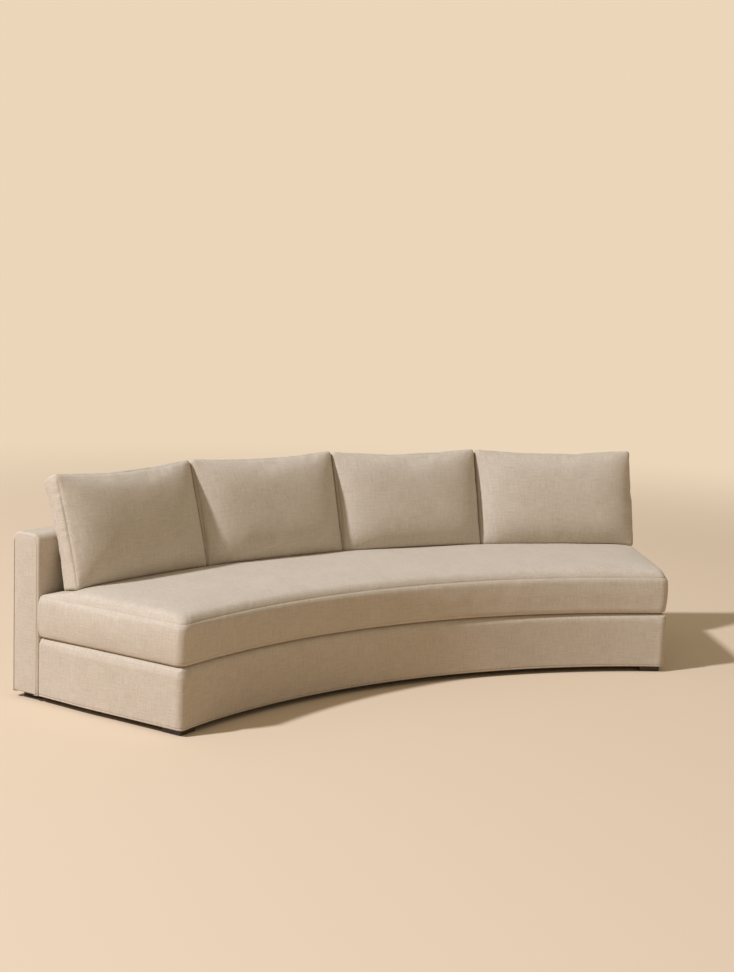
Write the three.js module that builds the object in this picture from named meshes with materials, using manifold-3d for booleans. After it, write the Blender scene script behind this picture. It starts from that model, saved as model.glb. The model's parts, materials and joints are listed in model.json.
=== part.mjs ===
// Curved sofa: a seat base on an arc, one long seat cushion, a low back and four loose back cushions.
// Millimetres, +Z up. Radii and angles are about the arc's centre, which lies in front of the sofa.
import * as THREE from 'three';
import { mergeVertices } from 'three/addons/utils/BufferGeometryUtils.js';
import Module from 'manifold-3d';

// Plan
const frontRadius = 2630;
const halfSweep = THREE.MathUtils.degToRad(26.25);
const seatDepth = 720;
const backThickness = 142;

// Heights, each above the one before
const legHeight = 24;
const baseHeight = 249;
const seatBoxing = 153.7;
const seatCrown = 40;
const backHeight = 628;

// Clearances
const contact = 0.3;
const fit = 0.9;
const overrun = 20;

// Upholstery of the base and back
const coverWall = 10;
const baseEdgeRadius = 18;
const baseCorner = 20;
const backEdgeRadius = 26;
const backEndRadius = 7;
const flangeWidth = 90;
const lipWidth = 24;
const lipThickness = 2;
const endPanelWall = 12;
const deckCloth = 2;
const dustSheet = 1.6;

// Wood frame
const railThickness = 28;
const seatRailHeight = 208;
const crossRailHeight = 120;
const blockLeg = 110;
const blockHeight = 60;
const bottomRailHeight = 45;
const topRailHeight = 60;
const boardThickness = 5;
const outerPanelThickness = 3;
const postWidth = 45;
const innerPostShares = [-0.5, 0, 0.5];
const crossRailShares = [-0.5, 0, 0.5];

// Webbing
const strapWidth = 66;
const strapThickness = 2;
const strapCount = 14;
const longStrapShares = [0.3, 0.7];
const strapEndInset = 6;
const stitchBite = 0.4;

// Legs and bolts
const legSide = 88;
const legInset = 14;
const rearLegInset = 40;
const middleLegSetBack = 120;
const legEdgeRadius = 3;
const legBoltRadius = 4;
const legBoltLength = 34;
const frameBoltRadius = 5;
const frameBoltHead = 9;
const frameBoltHeadHeight = 6;
const frameBoltShares = [-0.75, -0.25, 0.25, 0.75];

// Seat cushion
const seatOverhang = 3;
const seatCorner = 28;
const seatBoxingPull = 6;
const crestFrontShare = 0.45;
const crestRearShare = 0.76;
const crownEndRun = 160;
const frontCrownPower = 2.4;
const rearCrownPower = 1.7;
const endCrownPower = 2.6;
const coverCloth = 3;
const wrapGap = 2;

// Back cushions, left to right
const cushionWidths = [690, 703, 695, 733];
const cushionAngles = [-18.87, -6.33, 6.24, 19.13].map(THREE.MathUtils.degToRad);
const cushionHeight = 450;
const cushionBoxing = 90;
const cushionFrontCrown = 46;
const cushionBackCrown = 10;
const cushionLean = THREE.MathUtils.degToRad(17.6);
const cushionBackGap = 14.65;
const cushionCorner = 16;
const cushionSag = 9;
const cushionBoxingPull = 6;
const domeAcrossPower = 2.6;
const domeUpPower = 2.2;

// Zips
const zipTape = 22;
const zipTapeThickness = 1.6;
const zipCoil = 5;
const zipCoilHeight = 1.2;
const sliderWidth = 10;
const sliderLength = 14;
const sliderWall = 1.4;
const pullTab = 26;
const pullTabWidth = 6;
const pullTabThickness = 1;
const seatZipHalf = THREE.MathUtils.degToRad(11);
const cushionZipShare = 0.72;

// Facets
const facetCount = 24;
const coarseFacetCount = 14;
const zipFacetCount = 24;
const cornerSteps = 3;
const cushionCornerSteps = 2;
const legEdgeSteps = 2;
const cushionStops = 6;
const coarseCushionStops = 3;
const cushionRestStops = 12;
const boltSides = 8;
const weldShare = 0.001;
const boxingShares = [0, 0.3, 0.7, 1];
const fineFaceShares = [0.93, 0.78, 0.5, 0.25, 0];
const seatLiningShares = [0.93, 0.78, 0.5, 0];
const cushionLiningShares = [0.6, 0];
const flatFaceShares = [0];
const domedFaceShares = [0, 0.6];

// Derived levels
const underside = legHeight + contact;
const baseTop = legHeight + baseHeight;
const backTop = legHeight + backHeight;
const railBottom = underside + lipThickness + contact;
const railTop = railBottom + seatRailHeight;
const weave = (strapThickness - stitchBite) / 2;
const webTop = railTop + contact + strapThickness + 2 * weave;
const flangeUnderside = baseTop - coverWall;
const seatBottom = baseTop + contact;
const seatSeam = seatBottom + seatBoxing;
const backFace = frontRadius + seatDepth;
const outerRadius = backFace + backThickness;
const backMiddle = backFace + backThickness / 2;

// Derived radii of the frame
const frontRailFace = frontRadius + coverWall + fit;
const frontRailInside = frontRailFace + railThickness;
const rearRailFace = backFace - fit;
const rearRailInside = rearRailFace - railThickness;
const seatRailInset = coverWall + fit;
const endRailInside = seatRailInset + railThickness;
const backWoodFace = backFace + coverWall + fit;
const backWoodOuter = outerRadius - coverWall - fit;

// Materials
const fabric = { color: 0xc2b19a, roughness: 0.95, metalness: 0 };
const wood = { color: 0xb98d58, roughness: 0.7, metalness: 0 };
const ply = { color: 0xcfae7c, roughness: 0.7, metalness: 0 };
const darkWood = { color: 0x2a1f10, roughness: 0.5, metalness: 0 };
const foam = { color: 0xe9e2c4, roughness: 0.9, metalness: 0 };
const strapCloth = { color: 0x3b3a38, roughness: 0.9, metalness: 0 };
const blackCloth = { color: 0x1f1e1d, roughness: 0.95, metalness: 0 };
const card = { color: 0x9a7b52, roughness: 0.9, metalness: 0 };
const steel = { color: 0xa8aaad, roughness: 0.35, metalness: 1 };
const zipCloth = { color: 0xb3a288, roughness: 0.8, metalness: 0 };

const wasm = await Module();
wasm.setup();

const sofa = new THREE.Group();

function add(name, geometry, look, parent = sofa) {
  const mesh = new THREE.Mesh(geometry, new THREE.MeshStandardMaterial(look));
  mesh.name = name;
  parent.add(mesh);
  return mesh;
}

// Merges shared corners and drops triangles that collapsed onto a line
function weld(geometry) {
  geometry.deleteAttribute('normal');
  geometry.deleteAttribute('uv');
  const welded = mergeVertices(geometry, weldShare * contact);
  const kept = [];
  const index = welded.index.array;
  for (let i = 0; i < index.length; i += 3) {
    const [a, b, c] = [index[i], index[i + 1], index[i + 2]];
    if (a !== b && b !== c && c !== a) kept.push(a, b, c);
  }
  welded.setIndex(kept);
  return welded;
}

function signedVolume(points, index) {
  let volume = 0;
  for (let i = 0; i < index.length; i += 3) {
    const cross = new THREE.Vector3().crossVectors(points[index[i + 1]], points[index[i + 2]]);
    volume += points[index[i]].dot(cross);
  }
  return volume;
}

// Triangles over a closed flat outline, wound the way the outline runs
function capTriangles(outline) {
  const direction = Math.sign(THREE.ShapeUtils.area(outline));
  return THREE.ShapeUtils.triangulateShape(outline, []).map(([a, b, c]) => {
    const turn = Math.sign(THREE.ShapeUtils.area([outline[a], outline[b], outline[c]]));
    return turn === direction ? [a, b, c] : [a, c, b];
  });
}

// Skins a row of closed rings that all have the same number of points.
// capOutline, where given, is the flat shape that closes the first and the last ring.
function loft(rings, capOutline = null) {
  const count = rings[0].length;
  const points = rings.flat();
  const index = [];
  for (let ring = 0; ring + 1 < rings.length; ring++) {
    for (let i = 0; i < count; i++) {
      const a = ring * count + i;
      const b = ring * count + ((i + 1) % count);
      index.push(a, b, b + count, a, b + count, a + count);
    }
  }
  if (capOutline) {
    const last = (rings.length - 1) * count;
    for (const [a, b, c] of capTriangles(capOutline)) {
      index.push(a, c, b, last + a, last + b, last + c);
    }
  }
  if (signedVolume(points, index) < 0) index.reverse();
  const geometry = new THREE.BufferGeometry();
  geometry.setAttribute('position', new THREE.Float32BufferAttribute(points.flatMap(p => p.toArray()), 3));
  geometry.setIndex(index);
  return weld(geometry);
}

function toSolid(geometry) {
  const vertProperties = new Float32Array(geometry.attributes.position.array);
  const triVerts = new Uint32Array(geometry.index.array);
  return new wasm.Manifold(new wasm.Mesh({ numProp: 3, vertProperties, triVerts }));
}

function toGeometry(solid) {
  const mesh = solid.getMesh();
  const geometry = new THREE.BufferGeometry();
  geometry.setAttribute('position', new THREE.Float32BufferAttribute(mesh.vertProperties, 3));
  geometry.setIndex(Array.from(mesh.triVerts));
  return geometry;
}

function join(geometries) {
  return toGeometry(wasm.Manifold.union(geometries.map(toSolid)));
}

function cut(geometry, ...tools) {
  return toGeometry(tools.reduce((solid, tool) => solid.subtract(toSolid(tool)), toSolid(geometry)));
}

function box(x, y, z) {
  return weld(new THREE.BoxGeometry(x, y, z));
}

// A rod along z
function rod(radius, length) {
  return weld(new THREE.CylinderGeometry(radius, radius, length, boltSides)).rotateX(Math.PI / 2);
}

function extrude(shape, depth, options = {}) {
  return weld(new THREE.ExtrudeGeometry(shape, { depth, bevelEnabled: false, ...options }));
}

function range(count) {
  return Array.from({ length: count }, (_, i) => i);
}

// A point of the plan at a radius and an angle from the sofa's middle
function plan(radius, angle) {
  return new THREE.Vector2(radius * Math.sin(angle), radius * Math.cos(angle));
}

function atHeight(point, z) {
  return new THREE.Vector3(point.x, point.y, z);
}

// The angle of a point that lies inset from the sofa's end cut
function endAngle(radius, inset) {
  return halfSweep - Math.asin(inset / radius);
}

// A point beside an end cut: along it from the arc's centre, and inset from it. Side is -1 left, 1 right.
function besideEnd(side, along, inset) {
  const point = plan(along, halfSweep);
  const inward = plan(inset, halfSweep - Math.PI / 2);
  return new THREE.Vector2(side * (point.x + inward.x), point.y + inward.y);
}

// A quarter round between two directions, about a centre
function quarter(centre, from, to, radius, steps) {
  return range(steps + 1).map(i => {
    const turn = (i / steps) * Math.PI / 2;
    const direction = from.clone().multiplyScalar(Math.cos(turn)).addScaledVector(to, Math.sin(turn));
    return centre.clone().addScaledVector(direction, radius);
  });
}

// Directions at the right-hand end: out through the end cut, and away from the arc's centre
const endOut = plan(1, halfSweep + Math.PI / 2);
const radialOut = plan(1, halfSweep);

function mirrored(points) {
  return points.map(p => new THREE.Vector2(-p.x, p.y)).reverse();
}

// Right half of a corner pair on the plan's outline: front corner, then rear corner
function frontCorner(inner, inset, corner, steps) {
  const radius = inner + corner;
  const centre = plan(radius, endAngle(radius, inset + corner));
  return quarter(centre, radialOut.clone().negate(), endOut, corner, steps);
}

function rearCorner(outer, inset, corner, steps) {
  const radius = outer - corner;
  const centre = plan(radius, endAngle(radius, inset + corner));
  return quarter(centre, endOut, radialOut, corner, steps);
}

// Points of an arc between two angles, both ends left out
function arcBetween(radius, from, to, facets) {
  return range(facets - 1).map(i => plan(radius, from + (to - from) * (i + 1) / facets));
}

// Closed outline of a slice of the arc, with rounded corners and ends parallel to the end cuts
function sliceOutline({ inner, outer, inset, corner, facets = facetCount, steps = cornerSteps }) {
  const front = frontCorner(inner, inset, corner, steps);
  const rear = rearCorner(outer, inset, corner, steps);
  const frontTurn = endAngle(inner + corner, inset + corner);
  const rearTurn = endAngle(outer - corner, inset + corner);
  return [
    ...mirrored(front),
    ...arcBetween(inner, -frontTurn, frontTurn, facets),
    ...front,
    ...rear,
    ...arcBetween(outer, rearTurn, -rearTurn, facets),
    ...mirrored(rear),
  ];
}

// A flat sheet of a slice of the arc, with round holes
function sheet(outline, bottom, thickness, holes = []) {
  const shape = new THREE.Shape(outline.filter((p, i) => p.distanceTo(outline.at(i - 1)) > contact));
  for (const { centre, radius } of holes) {
    shape.holes.push(new THREE.Path(circlePoints(centre, radius)));
  }
  return extrude(shape, thickness).translate(0, 0, bottom);
}

function circlePoints(centre, radius) {
  return range(boltSides).map(i => {
    const turn = (2 * Math.PI * i) / boltSides;
    return new THREE.Vector2(centre.x + radius * Math.cos(turn), centre.y + radius * Math.sin(turn));
  });
}

// A section of radius and height swept along the arc between two end cuts, each inset as its ring says
function sweepArc(section, inset, facets = facetCount) {
  const rings = range(facets + 1).map(i => section.map(({ x: radius, y: z }) => {
    const turn = endAngle(radius, inset) * (2 * i / facets - 1);
    return atHeight(plan(radius, turn), z);
  }));
  return loft(rings, section);
}

function rectangle(x0, x1, y0, y1) {
  return [[x0, y0], [x1, y0], [x1, y1], [x0, y1]].map(([x, y]) => new THREE.Vector2(x, y));
}

// Path of the base's skirt at an inset: left end, front and right end
function skirtPath(inset, corner) {
  const rear = Math.sqrt(backFace ** 2 - flangeWidth ** 2) - fit;
  const front = frontCorner(frontRadius + inset, inset, corner, cornerSteps);
  const turn = endAngle(frontRadius + inset + corner, inset + corner);
  return [
    besideEnd(-1, rear, inset),
    ...mirrored(front),
    ...arcBetween(frontRadius + inset, -turn, turn, facetCount),
    ...front,
    besideEnd(1, rear, inset),
  ];
}

// Sweeps a section of inset and height round the base's front and ends
function sweepSkirt(section) {
  const cornerAt = inset => baseCorner * Math.max(0, 1 - inset / coverWall);
  const paths = section.map(({ x: inset }) => skirtPath(inset, cornerAt(inset)));
  const rings = range(paths[0].length).map(i => section.map(({ y: z }, k) => atHeight(paths[k][i], z)));
  return loft(rings, section);
}

function roundEdge(...corner) {
  const radius = corner.pop();
  const [centre, from, to] = corner.map(([x, y]) => new THREE.Vector2(x, y));
  return quarter(centre, from, to, radius, cornerSteps);
}

// Base cover: padded cloth over the front and ends, turned in at the top and under the rails
function baseCover() {
  const section = [
    new THREE.Vector2(0, underside),
    ...roundEdge([baseEdgeRadius, baseTop - baseEdgeRadius], [-1, 0], [0, 1], baseEdgeRadius),
    new THREE.Vector2(flangeWidth, baseTop),
    new THREE.Vector2(flangeWidth, flangeUnderside),
    new THREE.Vector2(coverWall, flangeUnderside),
    new THREE.Vector2(coverWall, underside + lipThickness),
    new THREE.Vector2(lipWidth, underside + lipThickness),
    new THREE.Vector2(lipWidth, underside),
  ];
  return sweepSkirt(section);
}

// Foam edge on top of the front and end rails
function edgeFoam() {
  return sweepSkirt(rectangle(coverWall + fit, flangeWidth, webTop + contact, flangeUnderside - contact));
}

// A flat sheet or pad between the base cover's flange and the back
function deckLayer(bottom, top) {
  const inset = flangeWidth + fit;
  const [inner, outer] = [frontRadius + inset, backFace - fit];
  const outline = sliceOutline({ inner, outer, inset, corner: 0, steps: 1 });
  return sheet(outline, bottom, top - bottom);
}

// A straight board beside an end cut, from the front rail to the rear rail
function endRail(side) {
  const [near, far] = [seatRailInset, seatRailInset + railThickness];
  const front = frontRailInside + fit;
  const rear = Math.sqrt(rearRailInside ** 2 - far ** 2) - fit;
  const outline = [[front, near], [rear, near], [rear, far], [front, far]];
  return sheet(outline.map(([along, inset]) => besideEnd(side, along, inset)), railBottom, seatRailHeight);
}

// A straight board across the seat frame, at an angle from its middle
function crossRail(angle) {
  const half = railThickness / 2;
  const front = frontRailInside + fit;
  const rear = Math.sqrt(rearRailInside ** 2 - half ** 2) - fit;
  return sheet(rectangle(-half, half, front, rear), railBottom, crossRailHeight).rotateZ(-angle);
}

// Triangular block glued into a corner of the seat frame; the front ones take a leg's bolt
function cornerBlock(side, atFront) {
  const inset = endRailInside + fit;
  const reach = inset + blockLeg;
  const along = atFront ? frontRailInside + fit : Math.sqrt(rearRailInside ** 2 - reach ** 2) - fit;
  const outline = [
    besideEnd(side, along, inset),
    besideEnd(side, along + (atFront ? blockLeg : -blockLeg), inset),
    besideEnd(side, along, reach),
  ];
  const holes = atFront ? [{ centre: frontLegCentre(side), radius: legBoltRadius + fit }] : [];
  return sheet(outline, railBottom, blockHeight, holes);
}

function frontLegCentre(side) {
  const inset = legInset + legSide / 2;
  return besideEnd(side, frontRadius + inset, inset);
}

function rearLegCentre(side) {
  return besideEnd(side, backMiddle, rearLegInset + legSide / 2);
}

// Where each leg stands, with the angle it is turned to
const middleFrontLeg = plan(frontRadius + middleLegSetBack + legSide / 2, 0);
const middleRearLeg = plan(backMiddle, 0);
const legPlaces = [
  { name: 'front_left_leg', centre: frontLegCentre(-1), angle: -halfSweep },
  { name: 'front_middle_leg', centre: middleFrontLeg, angle: 0 },
  { name: 'front_right_leg', centre: frontLegCentre(1), angle: halfSweep },
  { name: 'rear_left_leg', centre: rearLegCentre(-1), angle: -halfSweep },
  { name: 'rear_middle_leg', centre: middleRearLeg, angle: 0 },
  { name: 'rear_right_leg', centre: rearLegCentre(1), angle: halfSweep },
];

function roundedSquare(side, radius) {
  const half = side / 2;
  const shape = new THREE.Shape();
  shape.moveTo(-half + radius, -half);
  shape.lineTo(half - radius, -half);
  shape.absarc(half - radius, -half + radius, radius, -Math.PI / 2, 0, false);
  shape.absarc(half - radius, half - radius, radius, 0, Math.PI / 2, false);
  shape.absarc(-half + radius, half - radius, radius, Math.PI / 2, Math.PI, false);
  shape.absarc(-half + radius, -half + radius, radius, Math.PI, 1.5 * Math.PI, false);
  return shape;
}

// Block leg with its hanger bolt, whose upper end stands in the frame
function legBlock() {
  const block = extrude(roundedSquare(legSide, legEdgeRadius), legHeight, { curveSegments: legEdgeSteps });
  const bolt = rod(legBoltRadius, 2 * legBoltLength).translate(0, 0, legHeight);
  const below = box(legSide, legSide, 2 * legBoltLength).translate(0, 0, legHeight / 2 - legBoltLength);
  return join([block, cut(bolt, below)]);
}

function legHoles(names) {
  return legPlaces.filter(({ name }) => names.includes(name))
    .map(({ centre }) => ({ centre, radius: legBoltRadius + fit }));
}

// Round hole tools along the legs' bolts
function legBoltTools(names) {
  return legHoles(names).map(({ centre, radius }) =>
    rod(radius, 2 * (legBoltLength + fit)).translate(centre.x, centre.y, legHeight));
}

// Bolts from the seat frame's rear rail into the back frame's bottom rail
const frameBoltZ = railBottom + bottomRailHeight / 2;
const frameBoltAngles = frameBoltShares.map(share => share * halfSweep);

// Lays a piece made along z out along the radius at an angle
function alongRadius(geometry, angle, radius) {
  return geometry.rotateX(-Math.PI / 2).translate(0, radius, frameBoltZ).rotateZ(-angle);
}

function frameBoltTools() {
  const length = 2 * railThickness + coverWall + overrun;
  const radius = frameBoltRadius + contact;
  return frameBoltAngles.map(angle => alongRadius(rod(radius, length), angle, backFace));
}

function frameBolt(angle) {
  const head = rearRailInside - frameBoltHeadHeight - fit;
  const neck = rearRailInside - fit;
  const tip = backWoodFace + railThickness - fit;
  const profile = [[0, head], [frameBoltHead, head], [frameBoltHead, neck], [frameBoltRadius, neck],
    [frameBoltRadius, tip], [0, tip]].map(([x, y]) => new THREE.Vector2(x, y - head));
  const bolt = weld(new THREE.LatheGeometry(profile, boltSides)).rotateX(Math.PI / 2);
  return alongRadius(bolt, angle, head);
}

// Webbing: straps from the front rail to the rear rail, woven with straps along the arc and
// stitched to them at every crossing
const strapAngles = range(strapCount).map(i => {
  const reach = halfSweep - Math.asin((endRailInside + strapWidth) / frontRadius);
  return reach * (2 * i / (strapCount - 1) - 1);
});
const betweenRails = rearRailInside - frontRailInside;
const longStrapRadii = longStrapShares.map(share => frontRailInside + share * betweenRails);
const weaveMiddle = railTop + contact + strapThickness / 2 + weave;

function weaveSide(long, across) {
  return (long + across) % 2 === 0 ? 1 : -1;
}

// One strap across the seat: a ribbon that passes over and under the straps along the arc
function crossStrap(number) {
  const flat = strapWidth / 2 + strapEndInset;
  const low = weaveMiddle - weave;
  const line = [
    new THREE.Vector2(frontRailFace + strapEndInset, low),
    new THREE.Vector2(frontRailInside, low),
  ];
  longStrapRadii.forEach((radius, long) => {
    const z = weaveMiddle + weaveSide(long, number) * weave;
    line.push(new THREE.Vector2(radius - flat, z), new THREE.Vector2(radius + flat, z));
  });
  line.push(new THREE.Vector2(rearRailInside, low), new THREE.Vector2(rearRailFace - strapEndInset, low));
  const half = strapThickness / 2;
  const outline = [
    ...line.map(p => new THREE.Vector2(p.x, p.y - half)),
    ...line.map(p => new THREE.Vector2(p.x, p.y + half)).reverse(),
  ];
  const strap = extrude(new THREE.Shape(outline), strapWidth).translate(0, 0, -strapWidth / 2);
  return strap.rotateX(Math.PI / 2).rotateZ(Math.PI / 2 - strapAngles[number]);
}

// One strap along the arc, on top of both end rails
function longStrap(number) {
  const radius = longStrapRadii[number];
  const flat = (strapWidth / 2 + strapEndInset) / radius;
  const low = weaveMiddle - weave;
  const end = endAngle(radius, coverWall + fit + strapEndInset);
  const inner = endAngle(radius, endRailInside);
  const stations = [[-end, low], [-inner, low]];
  strapAngles.forEach((angle, across) => {
    const z = weaveMiddle - weaveSide(number, across) * weave;
    stations.push([angle - flat, z], [angle + flat, z]);
  });
  stations.push([inner, low], [end, low]);
  const half = strapThickness / 2;
  const section = rectangle(radius - strapWidth / 2, radius + strapWidth / 2, -half, half);
  const rings = stations.map(([angle, z]) => section.map(p => atHeight(plan(p.x, angle), z + p.y)));
  return loft(rings, section);
}

// The low back's section at a depth under its skin: up its inner face, over the top and down its outer face
function backSection(depth, bottom = underside) {
  const round = backEdgeRadius - depth;
  const [front, rear, top] = [backFace + depth, outerRadius - depth, backTop - depth];
  return [
    new THREE.Vector2(front, bottom),
    ...roundEdge([front + round, top - round], [-1, 0], [0, 1], round),
    ...roundEdge([rear - round, top - round], [0, 1], [1, 0], round),
    new THREE.Vector2(rear, bottom),
  ];
}

// Back cover: padded cloth over the inside, top and outside of the low back, turned under its rails
function backCover() {
  const lipTop = underside + lipThickness;
  const inside = [
    new THREE.Vector2(outerRadius - lipWidth, underside),
    new THREE.Vector2(outerRadius - lipWidth, lipTop),
    ...backSection(coverWall, lipTop).reverse(),
    new THREE.Vector2(backFace + lipWidth, lipTop),
    new THREE.Vector2(backFace + lipWidth, underside),
  ];
  const ring = (depth, angleOf) =>
    [...backSection(depth), ...inside].map(p => atHeight(plan(p.x, angleOf(p.x)), p.y));
  const rounding = range(cornerSteps).map(i => {
    const turn = (i / cornerSteps) * Math.PI / 2;
    return { inset: backEndRadius * (1 - Math.cos(turn)), depth: backEndRadius * (1 - Math.sin(turn)) };
  });
  const leftEnd = rounding.map(({ inset, depth }) => ring(depth, radius => -endAngle(radius, inset)));
  const rightEnd = rounding.map(({ inset, depth }) => ring(depth, radius => endAngle(radius, inset)));
  const between = range(facetCount + 1).map(i =>
    ring(0, radius => endAngle(radius, backEndRadius) * (2 * i / facetCount - 1)));
  return loft([...leftEnd, ...between, ...rightEnd.reverse()], [...backSection(backEndRadius), ...inside]);
}

// Upholstered panel that closes an end of the low back, inside the cover's turned-in edge
function endPanel(side) {
  const panel = extrude(new THREE.Shape(backSection(coverWall + fit, railBottom)), endPanelWall);
  panel.rotateX(Math.PI / 2).rotateZ(Math.PI / 2).translate(side > 0 ? -endPanelWall : 0, 0, 0);
  return panel.rotateZ(-side * halfSweep);
}

// Upright of the back frame between its bottom and top rails
function backPost(angle) {
  const front = backWoodFace + boardThickness + fit;
  const rear = backWoodOuter - outerPanelThickness - fit;
  const bottom = railBottom + bottomRailHeight + contact;
  const top = backTop - coverWall - fit - topRailHeight - contact;
  const post = box(postWidth, rear - front, top - bottom);
  return post.translate(0, (front + rear) / 2, (bottom + top) / 2).rotateZ(-angle);
}

// Height of the seat's crown over its seam, at a share of the depth and a distance from the nearer end
function crownShare(depthShare, fromEnd) {
  const rise = 1 - Math.max(0, 1 - depthShare / crestFrontShare) ** frontCrownPower;
  const fall = Math.min(1, Math.max(0, 1 - depthShare) / (1 - crestRearShare)) ** rearCrownPower;
  const end = 1 - Math.max(0, 1 - fromEnd / crownEndRun) ** endCrownPower;
  return Math.min(rise, fall) * end;
}

// Where the back cushions stand: their backs clear the low back's upper edge, and their lower edges lie on
// the seat's crown
const cushionThrough = cushionBoxing + cushionBackCrown;
const cushionRise = backTop - backEdgeRadius - seatSeam - seatCrown + cushionThrough * Math.sin(cushionLean);
const cushionBehind = cushionThrough * Math.cos(cushionLean) + cushionRise * Math.tan(cushionLean);
const cushionFootRadius = backFace - cushionBackGap - cushionBehind;
const cushionLift = contact + Math.max(...range(cushionRestStops + 1).map(stop => {
  const back = cushionBoxing * stop / cushionRestStops;
  const depth = cushionFootRadius + back * Math.cos(cushionLean) - frontRadius;
  return seatCrown * crownShare(depth / seatDepth, crownEndRun) + back * Math.sin(cushionLean);
}));

// Rings of a stuffed, boxed cushion: lower face, boxing and upper face. A face's ring is a share of the way
// from the spine to the outline. The outer skin is fine; the lining and the foam are coarser.
function cushionLevels(lowerShares, upperShares) {
  return [
    ...lowerShares.map(reachShare => ({ face: -1, reachShare })),
    ...boxingShares.map(boxingShare => ({ face: 0, boxingShare })),
    ...upperShares.map(reachShare => ({ face: 1, reachShare })),
  ];
}

function stuffed({ outline, spine, low, high, lowCrown, highCrown, pull, levels }) {
  const rings = levels.map(level => outline.map((edge, i) => {
    if (level.face === 0) {
      const bow = 4 * level.boxingShare * (1 - level.boxingShare);
      const inward = spine[i].clone().sub(edge).setLength(pull * bow);
      return atHeight(inward.add(edge), low + (high - low) * level.boxingShare);
    }
    const point = spine[i].clone().lerp(edge, level.reachShare);
    return atHeight(point, level.face > 0 ? high + highCrown(point) : low - lowCrown(point));
  }));
  return loft(rings);
}

// Seat cushion skin, drawn in by a wall on every side and lifted by its floor's thickness
function seatSkin(wall, fine, floor = wall) {
  const inner = frontRadius - seatOverhang + wall;
  const outer = backFace - 2 * fit - wall;
  const corner = Math.max(seatCorner - wall, fit);
  const [facets, steps] = fine ? [facetCount, cornerSteps] : [coarseFacetCount, 1];
  const outline = sliceOutline({ inner, outer, inset: wall, corner, facets, steps });
  const middle = (inner + outer) / 2;
  const end = endAngle(middle, wall + (outer - inner) / 2);
  const [left, right] = [-end, end].map(turn => range(steps + 1).map(() => plan(middle, turn)));
  const between = arcBetween(middle, -end, end, facets);
  const spine = [...left, ...between, ...right, ...right, ...between.toReversed(), ...left];
  const highCrown = point => {
    const turn = Math.abs(Math.atan2(point.x, point.y));
    const fromEnd = point.length() * Math.sin(Math.max(0, halfSweep - turn)) - wall;
    return seatCrown * crownShare((point.length() - inner) / (outer - inner), fromEnd);
  };
  return stuffed({
    outline, spine, low: seatBottom + floor, high: seatSeam - wall, lowCrown: () => 0, highCrown,
    pull: seatBoxingPull, levels: cushionLevels(flatFaceShares, fine ? fineFaceShares : seatLiningShares),
  });
}

// Section of a zip: a tape with the coil raised along its middle, x outwards and y across
function zipSection() {
  const [tape, coil] = [zipTape / 2, zipCoil / 2];
  return [[0, -tape], [zipTapeThickness, -tape], [zipTapeThickness, -coil],
    [zipTapeThickness + zipCoilHeight, -coil], [zipTapeThickness + zipCoilHeight, coil],
    [zipTapeThickness, coil], [zipTapeThickness, tape], [0, tape]].map(([x, y]) => new THREE.Vector2(x, y));
}

// Slider and its pull tab, riding over the coil: x outwards, y across, z along the zip
function sliderGeometry() {
  const base = zipTapeThickness + contact;
  const coilTop = zipTapeThickness + zipCoilHeight + contact;
  const [half, channel] = [sliderWidth / 2, zipCoil / 2 + contact];
  const outline = [[base, -half], [coilTop + sliderWall, -half], [coilTop + sliderWall, half], [base, half],
    [base, channel], [coilTop, channel], [coilTop, -channel], [base, -channel]];
  const shape = new THREE.Shape(outline.map(([x, y]) => new THREE.Vector2(x, y)));
  const body = extrude(shape, sliderLength);
  const tab = box(pullTabThickness + contact, pullTabWidth, pullTab);
  tab.translate(coilTop + sliderWall + (pullTabThickness - contact) / 2, 0, (sliderLength + pullTab) / 2);
  return toGeometry(toSolid(body).add(toSolid(tab)));
}

const seatZipZ = seatBottom + seatBoxing / 2;
const seatZipRadius = backFace - 2 * fit - seatBoxingPull - zipTapeThickness - contact;

function seatZipSweep(section, halfAngle) {
  const rings = range(zipFacetCount + 1).map(i => {
    const turn = halfAngle * (2 * i / zipFacetCount - 1);
    return section.map(p => atHeight(plan(seatZipRadius + p.x, turn), seatZipZ + p.y));
  });
  return loft(rings, section);
}

function seatZipSlot() {
  const half = zipTape / 2 + contact;
  const slot = rectangle(-overrun / 2 - coverCloth, overrun / 2, -half, half);
  return seatZipSweep(slot, seatZipHalf + contact / seatZipRadius);
}

function seatZipSlider() {
  const slider = sliderGeometry().rotateX(Math.PI / 2).rotateZ(Math.PI / 2);
  return slider.translate(0, seatZipRadius, seatZipZ).rotateZ(seatZipHalf);
}

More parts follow.
